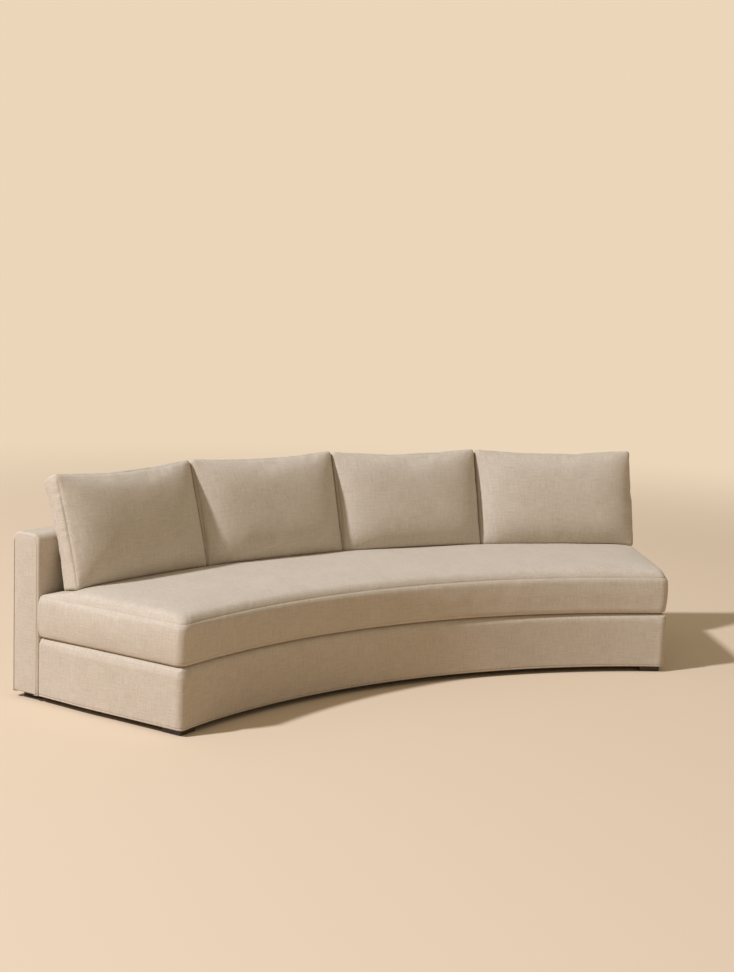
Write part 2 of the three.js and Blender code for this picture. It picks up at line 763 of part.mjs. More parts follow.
// Back cushion skin in its own plane, drawn in by a wall: x across, y up, z out of its face.
// The top and the sides dip between the corners; the bottom is straight, because it stands on the seat.
function cushionSkin(width, wall, fine) {
  const [steps, stopCount] = fine ? [cushionCornerSteps, cushionStops] : [1, coarseCushionStops];
  const [halfWidth, halfHeight] = [width / 2 - wall, cushionHeight / 2 - wall];
  const corner = Math.max(cushionCorner - wall, fit);
  const [x, y, reach] = [halfWidth - corner, halfHeight - corner, halfWidth - halfHeight];
  const stops = range(stopCount - 1).map(i => 2 * (i + 1) / stopCount - 1);
  const dip = stop => cushionSag * (1 - stop ** 2);
  const [right, up] = [new THREE.Vector2(1, 0), new THREE.Vector2(0, 1)];
  const [left, down] = [new THREE.Vector2(-1, 0), new THREE.Vector2(0, -1)];
  const rows = [
    [quarter(new THREE.Vector2(x, -y), down, right, corner, steps), () => reach],
    [stops.map(stop => new THREE.Vector2(halfWidth - dip(stop), y * stop)), () => reach],
    [quarter(new THREE.Vector2(x, y), right, up, corner, steps), () => reach],
    [stops.toReversed().map(stop => new THREE.Vector2(x * stop, halfHeight - dip(stop))),
      p => reach * p.x / x],
    [quarter(new THREE.Vector2(-x, y), up, left, corner, steps), () => -reach],
    [stops.toReversed().map(stop => new THREE.Vector2(-halfWidth + dip(stop), y * stop)), () => -reach],
    [quarter(new THREE.Vector2(-x, -y), left, down, corner, steps), () => -reach],
    [stops.map(stop => new THREE.Vector2(x * stop, -halfHeight)), p => reach * p.x / x],
  ];
  const outline = rows.flatMap(([points]) => points);
  const spine = rows.flatMap(([points, spineX]) => points.map(p => new THREE.Vector2(spineX(p), 0)));
  const levels = fine ? cushionLevels(domedFaceShares, fineFaceShares)
    : cushionLevels(flatFaceShares, cushionLiningShares);
  const dome = point => {
    const across = Math.min(1, Math.abs(point.x) / halfWidth);
    const upward = Math.min(1, Math.abs(point.y) / halfHeight);
    return (1 - across ** domeAcrossPower) * (1 - upward ** domeUpPower);
  };
  return stuffed({
    outline, spine, low: wall, high: cushionBoxing - wall, lowCrown: point => cushionBackCrown * dome(point),
    highCrown: point => cushionFrontCrown * dome(point), pull: cushionBoxingPull, levels,
  });
}

// The zip lies in the bottom boxing: y is down there, so the zip's outward side points to -y
const cushionZipY = -cushionHeight / 2 + cushionBoxingPull + zipTapeThickness + contact;

function inBottomBoxing(geometry, startX) {
  geometry.rotateZ(-Math.PI / 2).rotateY(Math.PI / 2);
  return geometry.translate(startX, cushionZipY, cushionBoxing / 2);
}

function cushionZip(width) {
  const length = width * cushionZipShare;
  return inBottomBoxing(extrude(new THREE.Shape(zipSection()), length), -length / 2);
}

function cushionZipSlot(width) {
  const length = width * cushionZipShare + 2 * contact;
  return box(length, overrun, zipTape + 2 * contact).translate(0, cushionZipY, cushionBoxing / 2);
}

function cushionSlider(width) {
  return inBottomBoxing(sliderGeometry(), -width * cushionZipShare / 2);
}

function addBackCushion(name, width, angle) {
  const stand = new THREE.Group();
  stand.rotation.z = -angle;
  sofa.add(stand);
  const lean = new THREE.Group();
  lean.position.set(0, cushionFootRadius, seatSeam + cushionLift);
  lean.rotation.x = Math.PI / 2 - cushionLean;
  stand.add(lean);
  const body = new THREE.Group();
  body.position.set(0, cushionHeight / 2, -cushionBoxing);
  lean.add(body);
  const skin = cushionSkin(width, 0, true);
  const lining = cushionSkin(width, coverCloth, false);
  add(`${name}_cover`, cut(skin, lining, cushionZipSlot(width)), fabric, body);
  add(`${name}_core`, cushionSkin(width, coverCloth + wrapGap, false), foam, body);
  add(`${name}_zip`, cushionZip(width), zipCloth, body);
  add(`${name}_zip_slider`, cushionSlider(width), steel, body);
}

// Seat frame
const frontBoltNames = ['front_left_leg', 'front_middle_leg', 'front_right_leg'];
const rearBoltNames = ['rear_left_leg', 'rear_middle_leg', 'rear_right_leg'];
const frontRail = sweepArc(rectangle(frontRailFace, frontRailInside, railBottom, railTop), seatRailInset);
add('front_rail', frontRail, wood);
const rearRail = sweepArc(rectangle(rearRailInside, rearRailFace, railBottom, railTop), seatRailInset);
add('rear_rail', cut(rearRail, ...frameBoltTools()), wood);
add('left_end_rail', endRail(-1), wood);
add('right_end_rail', endRail(1), wood);
['left', 'middle', 'right'].forEach((place, i) => {
  const tools = place === 'middle' ? legBoltTools(['front_middle_leg']) : [];
  add(`${place}_cross_rail`, cut(crossRail(crossRailShares[i] * halfSweep), ...tools), wood);
});
add('front_left_corner_block', cornerBlock(-1, true), wood);
add('front_right_corner_block', cornerBlock(1, true), wood);
add('rear_left_corner_block', cornerBlock(-1, false), wood);
add('rear_right_corner_block', cornerBlock(1, false), wood);

// Suspension and deck
const straps = [...range(strapCount).map(crossStrap), ...range(longStrapShares.length).map(longStrap)];
add('seat_webbing', join(straps), strapCloth);
add('edge_foam', edgeFoam(), foam);
add('deck_pad', deckLayer(webTop + contact, baseTop - deckCloth - contact), foam);
add('deck_cloth', deckLayer(baseTop - deckCloth, baseTop), fabric);

// Base cover and dust covers
add('base_cover', baseCover(), fabric);
const dustInset = lipWidth + contact;
const dustOutline = sliceOutline({
  inner: frontRadius + dustInset, outer: backFace - fit, inset: dustInset, corner: 0, steps: 1,
});
add('dust_cover', sheet(dustOutline, underside, dustSheet, legHoles(frontBoltNames)), blackCloth);
const backDustOutline = sliceOutline({
  inner: backFace + dustInset, outer: outerRadius - dustInset, inset: endPanelWall + fit, corner: 0, steps: 1,
});
add('back_dust_cover', sheet(backDustOutline, underside, dustSheet, legHoles(rearBoltNames)), blackCloth);

// Back frame
const backWoodInset = endPanelWall + fit;
const bottomSection = rectangle(backWoodFace, backWoodOuter, railBottom, railBottom + bottomRailHeight);
const bottomRail = sweepArc(bottomSection, backWoodInset);
add('back_bottom_rail', cut(bottomRail, ...legBoltTools(rearBoltNames), ...frameBoltTools()), wood);
const woodTop = backTop - coverWall - fit;
const topSection = backSection(coverWall + fit, woodTop - topRailHeight);
add('back_top_rail', sweepArc(topSection, backWoodInset), wood);
const [boardBottom, boardTop] = [railBottom + bottomRailHeight + contact, woodTop - topRailHeight - contact];
const postEnd = endAngle(backMiddle, backWoodInset + postWidth / 2);
[-postEnd, ...innerPostShares.map(share => share * halfSweep), postEnd].forEach((angle, i) => {
  add(`back_post_${i + 1}`, backPost(angle), wood);
});
add('back_board', sweepArc(rectangle(backWoodFace, backWoodFace + boardThickness, boardBottom, boardTop),
  backWoodInset), ply);
add('outer_back_panel', sweepArc(rectangle(backWoodOuter - outerPanelThickness, backWoodOuter, boardBottom,
  boardTop), backWoodInset), card);
add('back_cover', cut(backCover(), ...frameBoltTools()), fabric);
add('left_end_panel', endPanel(-1), fabric);
add('right_end_panel', endPanel(1), fabric);
frameBoltAngles.forEach((angle, i) => add(`frame_bolt_${i + 1}`, frameBolt(angle), steel));

// Legs
for (const { name, centre, angle } of legPlaces) {
  const leg = add(name, legBlock(), darkWood);
  leg.position.set(centre.x, centre.y, 0);
  leg.rotation.z = -angle;
}

// Seat cushion
add('seat_cushion_cover', cut(seatSkin(0, true), seatSkin(coverCloth, false), seatZipSlot()), fabric);
add('seat_cushion_core', seatSkin(coverCloth + wrapGap, false, coverCloth + contact), foam);
add('seat_cushion_zip', seatZipSweep(zipSection(), seatZipHalf), zipCloth);
add('seat_cushion_zip_slider', seatZipSlider(), steel);

// Back cushions
['left', 'inner_left', 'inner_right', 'right'].forEach((place, i) => {
  addBackCushion(`${place}_back_cushion`, cushionWidths[i], cushionAngles[i]);
});

// The origin is the middle of the footprint, on the floor
const bounds = new THREE.Box3().setFromObject(sofa);
const centre = bounds.getCenter(new THREE.Vector3());
sofa.position.set(-centre.x, -centre.y, -bounds.min.z);

export default sofa;
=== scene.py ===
"""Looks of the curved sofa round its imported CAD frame. Metres, +Z up, in the frame's own axes."""

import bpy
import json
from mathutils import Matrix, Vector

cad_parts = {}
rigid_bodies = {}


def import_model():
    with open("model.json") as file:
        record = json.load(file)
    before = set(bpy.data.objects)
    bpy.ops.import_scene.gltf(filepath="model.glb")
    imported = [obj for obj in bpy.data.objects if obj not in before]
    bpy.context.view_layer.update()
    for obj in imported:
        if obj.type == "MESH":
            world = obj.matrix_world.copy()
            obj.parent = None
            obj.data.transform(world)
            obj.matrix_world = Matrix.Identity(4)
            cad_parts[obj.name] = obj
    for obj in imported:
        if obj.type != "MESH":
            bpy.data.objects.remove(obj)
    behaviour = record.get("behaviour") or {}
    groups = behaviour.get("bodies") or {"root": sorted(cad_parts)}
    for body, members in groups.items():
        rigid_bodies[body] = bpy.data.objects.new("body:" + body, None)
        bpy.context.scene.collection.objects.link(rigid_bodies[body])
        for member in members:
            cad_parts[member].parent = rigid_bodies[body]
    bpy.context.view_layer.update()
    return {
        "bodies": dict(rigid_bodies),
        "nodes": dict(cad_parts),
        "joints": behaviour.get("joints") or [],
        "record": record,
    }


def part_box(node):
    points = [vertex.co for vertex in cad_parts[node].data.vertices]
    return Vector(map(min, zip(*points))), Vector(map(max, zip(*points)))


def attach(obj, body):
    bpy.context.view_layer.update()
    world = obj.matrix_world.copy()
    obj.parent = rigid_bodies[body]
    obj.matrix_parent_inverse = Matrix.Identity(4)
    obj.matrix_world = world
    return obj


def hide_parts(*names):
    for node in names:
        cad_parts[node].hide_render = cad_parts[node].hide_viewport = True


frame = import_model()

import functools
import json
import math

import bmesh
import bpy
import numpy as np
from mathutils import Matrix, Vector
from mathutils.bvhtree import BVHTree
from mathutils.kdtree import KDTree

# Plan and heights of the sofa, as in the CAD but for fuller edges and a higher back
CENTRE_Y = -2.928754
CENTRE = np.array([0, CENTRE_Y, 0])
HALF = math.radians(26.25)
FRONT = 2.63
BACK_FACE = 3.35
OUTER = 3.492
FIT = 0.0009
CONTACT = 0.0003
UNDERSIDE = 0.0243
BASE_TOP = 0.273
SEAT_BOTTOM = 0.2733
SEAT_SEAM = 0.431
SEAT_HEIGHT = SEAT_SEAM - SEAT_BOTTOM
SEAT_FRONT = FRONT - 0.003
SEAT_REAR = BACK_FACE - 2 * FIT
SEAT_REACH = 0.36
SEAT_CORNER, SEAT_REAR_CORNER = 0.036, 0.006
SEAT_CROWN = 0.036
BACK_TOP = 0.668
BACK_FRAME_TOP = 0.652
FLANGE = 0.09
COVER_WALL = 0.01
TURN_IN = 0.024
BASE_CORNER = 0.028
HEM, HEM_WIDTH = 0.008, 0.0016
BASE_EDGE = (0.034, 0.028)
BASE_RIM_DROP = 0.011
BACK_EDGE = 0.036
BACK_INNER_EDGE = 0.026
BACK_END = 0.0095
PANEL_DEPTH = 0.0116
RAIL_TOP, DECK_TOP = 0.2388, 0.2728
CUSHIONS = [
    ("left_back_cushion", 0.690, -18.87),
    ("inner_left_back_cushion", 0.703, -6.33),
    ("inner_right_back_cushion", 0.695, 6.24),
    ("right_back_cushion", 0.733, 19.13),
]
CUSHION_HEIGHT = 0.45
CUSHION_BOXING = 0.09
CUSHION_LEAN = math.radians(17.6)
CUSHION_FOOT = Vector((0, 3.18, 0.4663))
CUSHION_CORNER = 0.013
SEAM_ROUND = 0.013
SEAM_WIDTH = 0.0022
LOW_SEAM, LOW_SEAM_WIDTH = 0.0125, 0.0018
# How far the filling spreads each cover: left side and right side at the bottom and the top, and the height
SPREAD = [
    ((0.010, 0.012), (0.001, 0.0125), 0.003),
    ((0.001, 0.0125), (0.001, 0.0125), 0.005),
    ((0.001, 0.0125), (0.001, 0.0125), -0.001),
    ((0.001, 0.0125), (0.013, 0.015), -0.004),
]


# Plan helpers: points of the plan have the arc's centre as their origin
def columns(*values):
    """Values side by side, as the coordinates of points."""
    return np.stack(np.broadcast_arrays(*values), -1)


def plan(radius, angle):
    return columns(radius * np.sin(angle), radius * np.cos(angle))


def end_angle(radius, inset):
    return HALF - np.arcsin(inset / radius)


def quarter(centre, start, end, radius, steps):
    turns = np.linspace(0, math.pi / 2, steps + 1)[:, None]
    return np.asarray(centre) + radius * (np.cos(turns) * start + np.sin(turns) * end)


def mirrored(points):
    return (points * [-1, 1])[::-1]


def lift_plan(points, z):
    """Plan points and heights as points of the frame."""
    return columns(points[..., 0], points[..., 1] + CENTRE_Y, z)


def radial(angle):
    """Level unit vectors of the frame that point away from the arc's centre."""
    return lift_plan(plan(1, angle), 0.0) - CENTRE


def polar(points):
    """Radius and angle of points about the arc's centre, and how far they are from the nearer end."""
    radius = np.linalg.norm(points[..., :2], axis=-1)
    turn = np.arctan2(points[..., 0], points[..., 1])
    return radius, turn, radius * np.sin(np.maximum(0, HALF - np.abs(turn)))


def placed(points, matrix):
    return points @ np.array(matrix.to_3x3()).T + np.array(matrix.translation)


END_OUT = plan(1, HALF + math.pi / 2)
RADIAL_OUT = plan(1, HALF)


def smoothstep(value, low, high):
    share = np.clip((value - low) / (high - low), 0, 1)
    return share * share * (3 - 2 * share)


@functools.lru_cache(maxsize=None)
def lattice(seed):
    return np.random.default_rng(seed).random((256, 256)) * 2 - 1


def smooth_noise(seed, u, v=0.5):
    """A smooth random field from -1 to 1, one cell per unit."""
    values = lattice(seed)
    u, v = np.broadcast_arrays(np.asarray(u, float), np.asarray(v, float))
    cu, cv = np.floor(u).astype(int), np.floor(v).astype(int)
    fu, fv = smoothstep(u - cu, 0, 1), smoothstep(v - cv, 0, 1)
    low, high = (values[cu % 256, row % 256] * (1 - fu) + values[(cu + 1) % 256, row % 256] * fu
                 for row in (cv, cv + 1))
    return low * (1 - fv) + high * fv


def waves(seed, u, v, *layers):
    """Layers of smooth waves, each with its size and its lengths along u and v."""
    return sum(size * smooth_noise(seed + i, u / along_u, v / along_v)
               for i, (size, along_u, along_v) in enumerate(layers))


def graded(length, coarse, mirror=False):
    """Distances from a seam: close together beside it and coarse further away."""
    near = [0, 0.0011, 0.0024, 0.0042, 0.0066, 0.0098, 0.014, 0.0195, 0.0265, 0.035]
    reach = length / 2 if mirror else length
    near = [d for d in near if d < reach - coarse / 2]
    rest = np.linspace(near[-1], reach, max(2, int(round((reach - near[-1]) / coarse)) + 1))[1:]
    half = np.concatenate([near, rest])
    return np.concatenate([half, (length - half[:-1])[::-1]]) if mirror else half


# Meshes
def grid_quads(rows, count):
    """Faces of a grid of points whose rows close on themselves."""
    index = np.arange(rows * count).reshape(rows, count)
    following = np.roll(index, -1, axis=1)
    return np.stack([index[:-1], following[:-1], following[1:], index[1:]], -1).reshape(-1, 4).tolist()


def swept_faces(rows, count):
    """The same with both ends closed."""
    last = (rows - 1) * count
    return grid_quads(rows, count) + [list(range(count))[::-1], list(range(last, last + count))]


def values_of(items, attribute, width=1, kind=float):
    values = np.empty(len(items) * width, kind)
    items.foreach_get(attribute, values)
    return values.reshape(-1, width) if width > 1 else values


def lay_cloth(mesh, to_local, offset):
    """Writes the cloth's own coordinates, in metres, at every face corner: each face takes the pair of
    directions that its cloth runs in."""
    points, normals = values_of(mesh.vertices, "co", 3), values_of(mesh.polygons, "normal", 3)
    corners = values_of(mesh.loops, "vertex_index", kind=int)
    owner = np.repeat(np.arange(len(normals)), values_of(mesh.polygons, "loop_total", kind=int))
    if to_local is None:
        turn = polar(values_of(mesh.polygons, "center", 3) - CENTRE)[1]
        outward = normals[:, 0] * np.sin(turn) + normals[:, 1] * np.cos(turn)
        sideways = normals[:, 0] * np.cos(turn) - normals[:, 1] * np.sin(turn)
        normals = columns(sideways, outward, normals[:, 2])
        radius, angle, _ = polar(points - CENTRE)
        x, y, z = points.T
        pairs = [(radius, z), (angle * radius, z), (x, y)]
    else:
        normals = normals @ np.array(to_local.to_3x3()).T
        x, y, z = placed(points, to_local).T
        pairs = [(z, y), (x, z), (x, y)]
    kind = np.argmax(np.abs(normals), 1)[owner]
    u, v = (np.choose(kind, [pair[axis][corners] for pair in pairs]) for axis in (0, 1))
    layer = mesh.attributes.new("cloth", "FLOAT_VECTOR", "CORNER")
    layer.data.foreach_set("vector", columns(u + offset, v + 0.7 * offset, 0.0).ravel())


def make_piece(name, points, material, body, slot, faces=None, to_local=None, offset=0.0, crease=None):
    """A piece from its points and faces, or from a grid of points whose rows close on themselves."""
    mesh = bpy.data.meshes.new(name)
    mesh.from_pydata(points.reshape(-1, 3).tolist(), [], faces or grid_quads(*points.shape[:2]))
    # crease holds painted shade along seams, which darkens the cloth materials there.
    if crease is not None:
        mesh.attributes.new("crease", "FLOAT", "POINT").data.foreach_set("value", np.ravel(crease))
    shape = bmesh.new()
    shape.from_mesh(mesh)
    bmesh.ops.remove_doubles(shape, verts=shape.verts, dist=2e-5)
    bmesh.ops.recalc_face_normals(shape, faces=shape.faces)
    shape.to_mesh(mesh)
    shape.free()
    mesh.polygons.foreach_set("use_smooth", [True] * len(mesh.polygons))
    mesh.update()
    lay_cloth(mesh, to_local, offset)
    mesh.materials.append(material)
    piece = bpy.data.objects.new(name, mesh)
    bpy.context.scene.collection.objects.link(piece)
    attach(piece, body)
    return piece


# Materials
def add_node(tree, kind, inputs=(), **settings):
    """A node with its settings, and with a link or a value at each of the given inputs."""
    made = tree.nodes.new(kind)
    for key, value in settings.items():
        setattr(made, key, value)
    for key, value in dict(inputs).items():
        if isinstance(value, bpy.types.NodeSocket):
            tree.links.new(value, made.inputs[key])
        else:
            made.inputs[key].default_value = value
    return made


class Look:
    """A Principled material with a small set of node helpers."""

    def __init__(self, name, color, **settings):
        self.material = bpy.data.materials.new(name)
        self.material.use_nodes = True
        self.tree = self.material.node_tree
        self.shader = self.tree.nodes["Principled BSDF"]
        self.shader.inputs["Base Color"].default_value = (*color, 1)
        for key, value in settings.items():
            self.shader.inputs[key.replace("_", " ")].default_value = value
        self.bumped = None

    def node(self, kind, inputs=(), **settings):
        return add_node(self.tree, kind, inputs, **settings)

    def math(self, operation, *values):
        return self.node("ShaderNodeMath", enumerate(values), operation=operation).outputs[0]

    def plus(self, first, second):
        return self.math("ADD", first, second)

    def times(self, first, second):
        return self.math("MULTIPLY", first, second)

    def place(self):
        return self.node("ShaderNodeTexCoord").outputs["Object"]

    def stretched(self, source, scale):
        mapping = self.node("ShaderNodeMapping", {"Vector": source, "Scale": scale})
        return mapping.outputs["Vector"]

    def noise(self, source, scale, detail=2.0, roughness=0.5):
        return self.node("ShaderNodeTexNoise", {"Vector": source, "Scale": scale, "Detail": detail,
                                                "Roughness": roughness}).outputs["Fac"]

    def ramp(self, value, low, high, to_low=0.0, to_high=1.0):
        return self.node("ShaderNodeMapRange", {"Value": value, "From Min": low, "From Max": high,
                                                "To Min": to_low, "To Max": to_high}).outputs["Result"]

    def tint(self, factor, first, second):
        first, second = ((*value, 1) if isinstance(value, tuple) else value for value in (first, second))
        return self.node("ShaderNodeMix", {0: factor, 6: first, 7: second}, data_type="RGBA").outputs[2]

    def bump(self, height, distance, strength=1.0):
        made = self.node("ShaderNodeBump", {"Height": height, "Distance": distance, "Strength": strength})
        if self.bumped is not None:
            self.tree.links.new(self.bumped, made.inputs["Normal"])
        self.bumped = made.outputs["Normal"]
        self.tree.links.new(self.bumped, self.shader.inputs["Normal"])

    def drive(self, socket, value):
        self.tree.links.new(value, self.shader.inputs[socket])


def linear(red, green, blue):
    return tuple(((c / 255 + 0.055) / 1.055) ** 2.4 for c in (red, green, blue))


def woven(name, light, dark, thread, slub=1.0, **settings):
    """A plain weave with slubs along both directions of the cloth, with painted shade along the seams, where
    the cloth is drawn into a groove.
    """
    look = Look(name, light, **settings)
    cloth = look.node("ShaderNodeAttribute", attribute_name="cloth").outputs["Vector"]
    wander = look.node("ShaderNodeTexNoise", {"Vector": cloth, "Scale": 55.0, "Detail": 1.0})
    shifted = look.node("ShaderNodeVectorMath", {0: wander.outputs["Color"], 1: (-0.5, -0.5, -0.5)},
                        operation="ADD").outputs[0]
    moved = look.node("ShaderNodeVectorMath", {0: shifted, 1: (0.0016, 0.0016, 0.0), 2: cloth},
                      operation="MULTIPLY_ADD").outputs[0]
    axes = look.node("ShaderNodeSeparateXYZ", {0: moved})
    sines = [look.math("SINE", look.times(axes.outputs[i], math.pi / thread)) for i in (0, 1)]
    across, down = [look.math("ABSOLUTE", sine) for sine in sines]
    over = look.ramp(look.times(*sines), -0.08, 0.08)
    warp = look.times(look.math("POWER", across, 0.5), look.ramp(down, 0, 1, 0.45, 1))
    weft = look.times(look.math("POWER", down, 0.5), look.ramp(across, 0, 1, 0.45, 1))
    threads = look.node("ShaderNodeMix", {0: over, 2: weft, 3: warp}, data_type="FLOAT").outputs[0]
    slubs = []
    for fine, long in ((0.28 / thread, 14), (0.6 / thread, 70)):
        both = [look.noise(look.stretched(cloth, scale), 1.0) for scale in ((fine, long, 1), (long, fine, 1))]
        slubs.append(look.ramp(look.plus(*both), 0.7, 1.3))
    streaks = look.plus(*slubs)
    mottle = look.noise(look.place(), 7.0, 4.0, 0.6)
    shade = look.plus(look.times(streaks, 0.34 * slub), look.times(mottle, 0.30))
    shade = look.plus(shade, look.times(threads, 0.24))
    mean = 0.34 * slub + 0.15 + 0.24 * 0.62
    color = look.tint(look.ramp(shade, mean - 0.5, mean + 0.5), dark, light)
    # Painted shade: the crease attribute darkens the colour along seams and hems, standing in for the shade
    # in their grooves.
    crease = look.node("ShaderNodeAttribute", attribute_name="crease").outputs["Fac"]
    color = look.tint(look.times(crease, 0.6), color, tuple(0.30 * c for c in dark))
    look.drive("Base Color", color)
    look.bump(threads, 0.0003, 0.5)
    look.bump(streaks, 0.0004, 0.4)
    look.bump(look.noise(cloth, 70.0, 3.0), 0.0010, 0.3)
    return look.material


def wooden(name, light, dark, grain, **settings):
    """Wood with grain and pores along x, stretched by the grain's scale."""
    look = Look(name, light, **settings)
    long = look.stretched(look.place(), grain)
    bands = look.noise(long, 5.0, 5.0, 0.62)
    pores = look.noise(look.stretched(long, (1.5, 6, 6)), 30.0, 2.0)
    color = look.tint(look.ramp(bands, 0.35, 0.68), dark, light)
    color = look.tint(look.ramp(pores, 0.30, 0.48), dark, color)
    look.drive("Base Color", color)
    rough = settings["Roughness"]
    look.drive("Roughness", look.ramp(bands, 0.2, 0.8, rough + 0.1, rough - 0.1))
    look.bump(pores, 0.0004, 0.5)
    return look.material


def speckled(name, light, dark, scale, bump, stretch=(1, 1, 1), **settings):
    """Card, felted cloth and foam: fibres or pores at one scale over a slow variation."""
    look = Look(name, light, **settings)
    place = look.stretched(look.place(), stretch)
    fine = look.noise(place, scale, 5.0, 0.65)
    slow = look.noise(place, 6.0, 3.0)
    mixed = look.plus(look.times(fine, 0.7), look.times(slow, 0.3))
    look.drive("Base Color", look.tint(look.ramp(mixed, 0.35, 0.65), dark, light))
    look.bump(fine, bump, 0.6)
    return look.material


FABRIC = woven("upholstery_linen", linear(222, 211, 195), linear(177, 163, 144), 0.0012, Roughness=0.92,
               Sheen_Weight=0.12, Sheen_Roughness=0.5, Specular_IOR_Level=0.2)
DECKING = woven("decking_linen", linear(214, 202, 184), linear(178, 163, 142), 0.0010, slub=0.6,
                Roughness=0.95, Sheen_Weight=0.1, Specular_IOR_Level=0.2)
STRAP = woven("webbing_strap", linear(74, 70, 66), linear(30, 28, 27), 0.0022, slub=0.4, Roughness=0.85,
              Specular_IOR_Level=0.3)
TAPE = woven("zip_tape_cloth", linear(170, 153, 130), linear(120, 104, 86), 0.0008, slub=0.3, Roughness=0.8,
             Specular_IOR_Level=0.3)
DUST = speckled("dust_cloth", linear(44, 43, 42), linear(22, 21, 21), 900.0, 0.0004, Roughness=0.96,
                Specular_IOR_Level=0.2)
FOAM = speckled("foam_block", linear(236, 229, 205), linear(206, 196, 164), 700.0, 0.0006, Roughness=0.9,
                Specular_IOR_Level=0.25)
CARD = speckled("panel_card", linear(176, 146, 106), linear(128, 101, 69), 420.0, 0.0002, (1, 1, 3),
                Roughness=0.88, Specular_IOR_Level=0.3)
PINE = wooden("frame_pine", linear(218, 182, 132), linear(170, 124, 76), (1.2, 9, 9), Roughness=0.62)
PLY = wooden("board_ply", linear(222, 194, 150), linear(186, 149, 102), (1.5, 5, 12), Roughness=0.6)
LEG_WOOD = wooden("leg_stained_wood", linear(62, 44, 30), linear(30, 20, 13), (3, 16, 16), Roughness=0.42,
                  Coat_Weight=0.12, Coat_Roughness=0.3)


def brushed_steel():
    look = Look("bright_steel", linear(190, 190, 194), Metallic=1.0, Roughness=0.3)
    lines = look.noise(look.stretched(look.place(), (40, 900, 900)), 1.0, 3.0)
    look.drive("Roughness", look.ramp(lines, 0.3, 0.7, 0.22, 0.42))
    look.bump(lines, 0.00008, 0.4)
    return look.material


STEEL = brushed_steel()


# Camera and stage
def add_camera():
    """The photograph's camera: where it stands, how it is turned and its lens."""
    yaw, pitch, roll = math.radians(31.235), math.radians(8.605), math.radians(2.14)
    data = bpy.data.cameras.new("photo_camera")
    data.sensor_width = 36
    data.lens = 1618.8 * data.sensor_width / 972
    data.clip_end = 200
    camera = bpy.data.objects.new("photo_camera", data)
    turned = Matrix.Rotation(-yaw, 4, "Z") @ Matrix.Rotation(math.pi / 2 - pitch, 4, "X")
    turned = turned @ Matrix.Rotation(roll, 4, "Z")
    camera.matrix_world = Matrix.Translation((-3.592, -5.8305, 1.836)) @ turned
    bpy.context.scene.collection.objects.link(camera)
    bpy.context.scene.camera = camera


BACKDROP = linear(236, 214, 186)
FLOOR = (0.745, 0.605, 0.445)
FLOOR_BOUNCE = (0.58, 0.425, 0.275)
SKY = (0.38, 0.335, 0.262)


def shown_directly(tree):
    """One for what the camera sees directly, in a gloss or through a clear piece, or else nothing."""
    path = add_node(tree, "ShaderNodeLightPath")
    most = path.outputs["Is Camera Ray"]
    for kind in ("Is Glossy Ray", "Is Transmission Ray"):
        both = {0: most, 1: path.outputs[kind]}
        most = add_node(tree, "ShaderNodeMath", both, operation="MAXIMUM").outputs[0]
    return most


def add_stage():
    """A pale floor whose colour runs out into the same pale surround."""
    bpy.ops.mesh.primitive_circle_add(vertices=96, radius=60, fill_type="NGON")
    floor = bpy.context.object
    floor.name = "floor"
    look = Look("pale_floor", FLOOR, Roughness=0.8, Specular_IOR_Level=0.2)
    look.drive("Base Color", look.tint(shown_directly(look.tree), FLOOR_BOUNCE, FLOOR))
    distance = look.node("ShaderNodeVectorMath", {0: look.place()}, operation="LENGTH").outputs["Value"]
    away = look.node("ShaderNodeMapRange", {"Value": distance, "From Min": 3.5, "From Max": 8.0},
                     interpolation_type="SMOOTHSTEP").outputs["Result"]
    glow = look.node("ShaderNodeEmission", {"Color": (*BACKDROP, 1), "Strength": 1.0})
    blend = look.node("ShaderNodeMixShader", {0: away, 1: look.shader.outputs[0], 2: glow.outputs[0]})
    look.tree.links.new(blend.outputs[0], look.tree.nodes["Material Output"].inputs["Surface"])
    floor.data.materials.append(look.material)
    world = bpy.data.worlds.new("studio")
    bpy.context.scene.world = world
    world.use_nodes = True
    tree = world.node_tree
    around = tree.nodes["Background"]
    around.inputs["Color"].default_value = (*SKY, 1)
    around.inputs["Strength"].default_value = 1.0
    seen = add_node(tree, "ShaderNodeBackground", {"Color": (*BACKDROP, 1)})
    parts = {0: shown_directly(tree), 1: around.outputs[0], 2: seen.outputs[0]}
    mix = add_node(tree, "ShaderNodeMixShader", parts)
    tree.links.new(mix.outputs[0], tree.nodes["World Output"].inputs["Surface"])


def add_key(azimuth, elevation, irradiance, distance, diameter, color):
    """A round lamp far to one side, at an azimuth counted from +X towards +Y and an elevation."""
    data = bpy.data.lights.new("key", "AREA")
    data.shape, data.size, data.color = "DISK", diameter, color
    data.energy = irradiance * math.pi * distance ** 2
    lamp = bpy.data.objects.new("key", data)
    a, e = math.radians(azimuth), math.radians(elevation)
    towards = Vector((math.cos(a) * math.cos(e), math.sin(a) * math.cos(e), math.sin(e)))
    lamp.location = Vector((-0.2, 0, 0.4)) + towards * distance
    lamp.rotation_mode = "QUATERNION"
    lamp.rotation_quaternion = towards.to_track_quat("Z", "Y")
    bpy.context.scene.collection.objects.link(lamp)


add_camera()
add_stage()
add_key(180.0, 45, 2.85, 22, 1.6, (1.0, 1.02, 1.12))
bpy.context.scene.view_settings.view_transform = "Standard"


# Stuffed pieces
def on_line(distance, width):
    """One on a line of stitches, and nothing from about twice the width on."""
    return np.exp(-(distance / width) ** 2)


def seam_shape(distance, radius, groove, width):
    """How far the cloth beside a seam lies back from the sharp edge, across its own panel and along it."""
    turn = np.clip(1 - distance / np.maximum(radius, 1e-6), 0, 1) * math.pi / 4
    short = np.where(distance < radius, radius * (1 - np.sin(turn)) - distance, 0)
    sink = groove * on_line(distance, width)
    return radius * (1 - np.cos(turn)) + sink, short + sink


def zip_groove(up, height):
    """Depth of the slot for a zip's tape and teeth along the middle of a side."""
    return 0.0022 / (1 + math.exp((abs(up - height / 2) - 0.0056) / 0.0005))


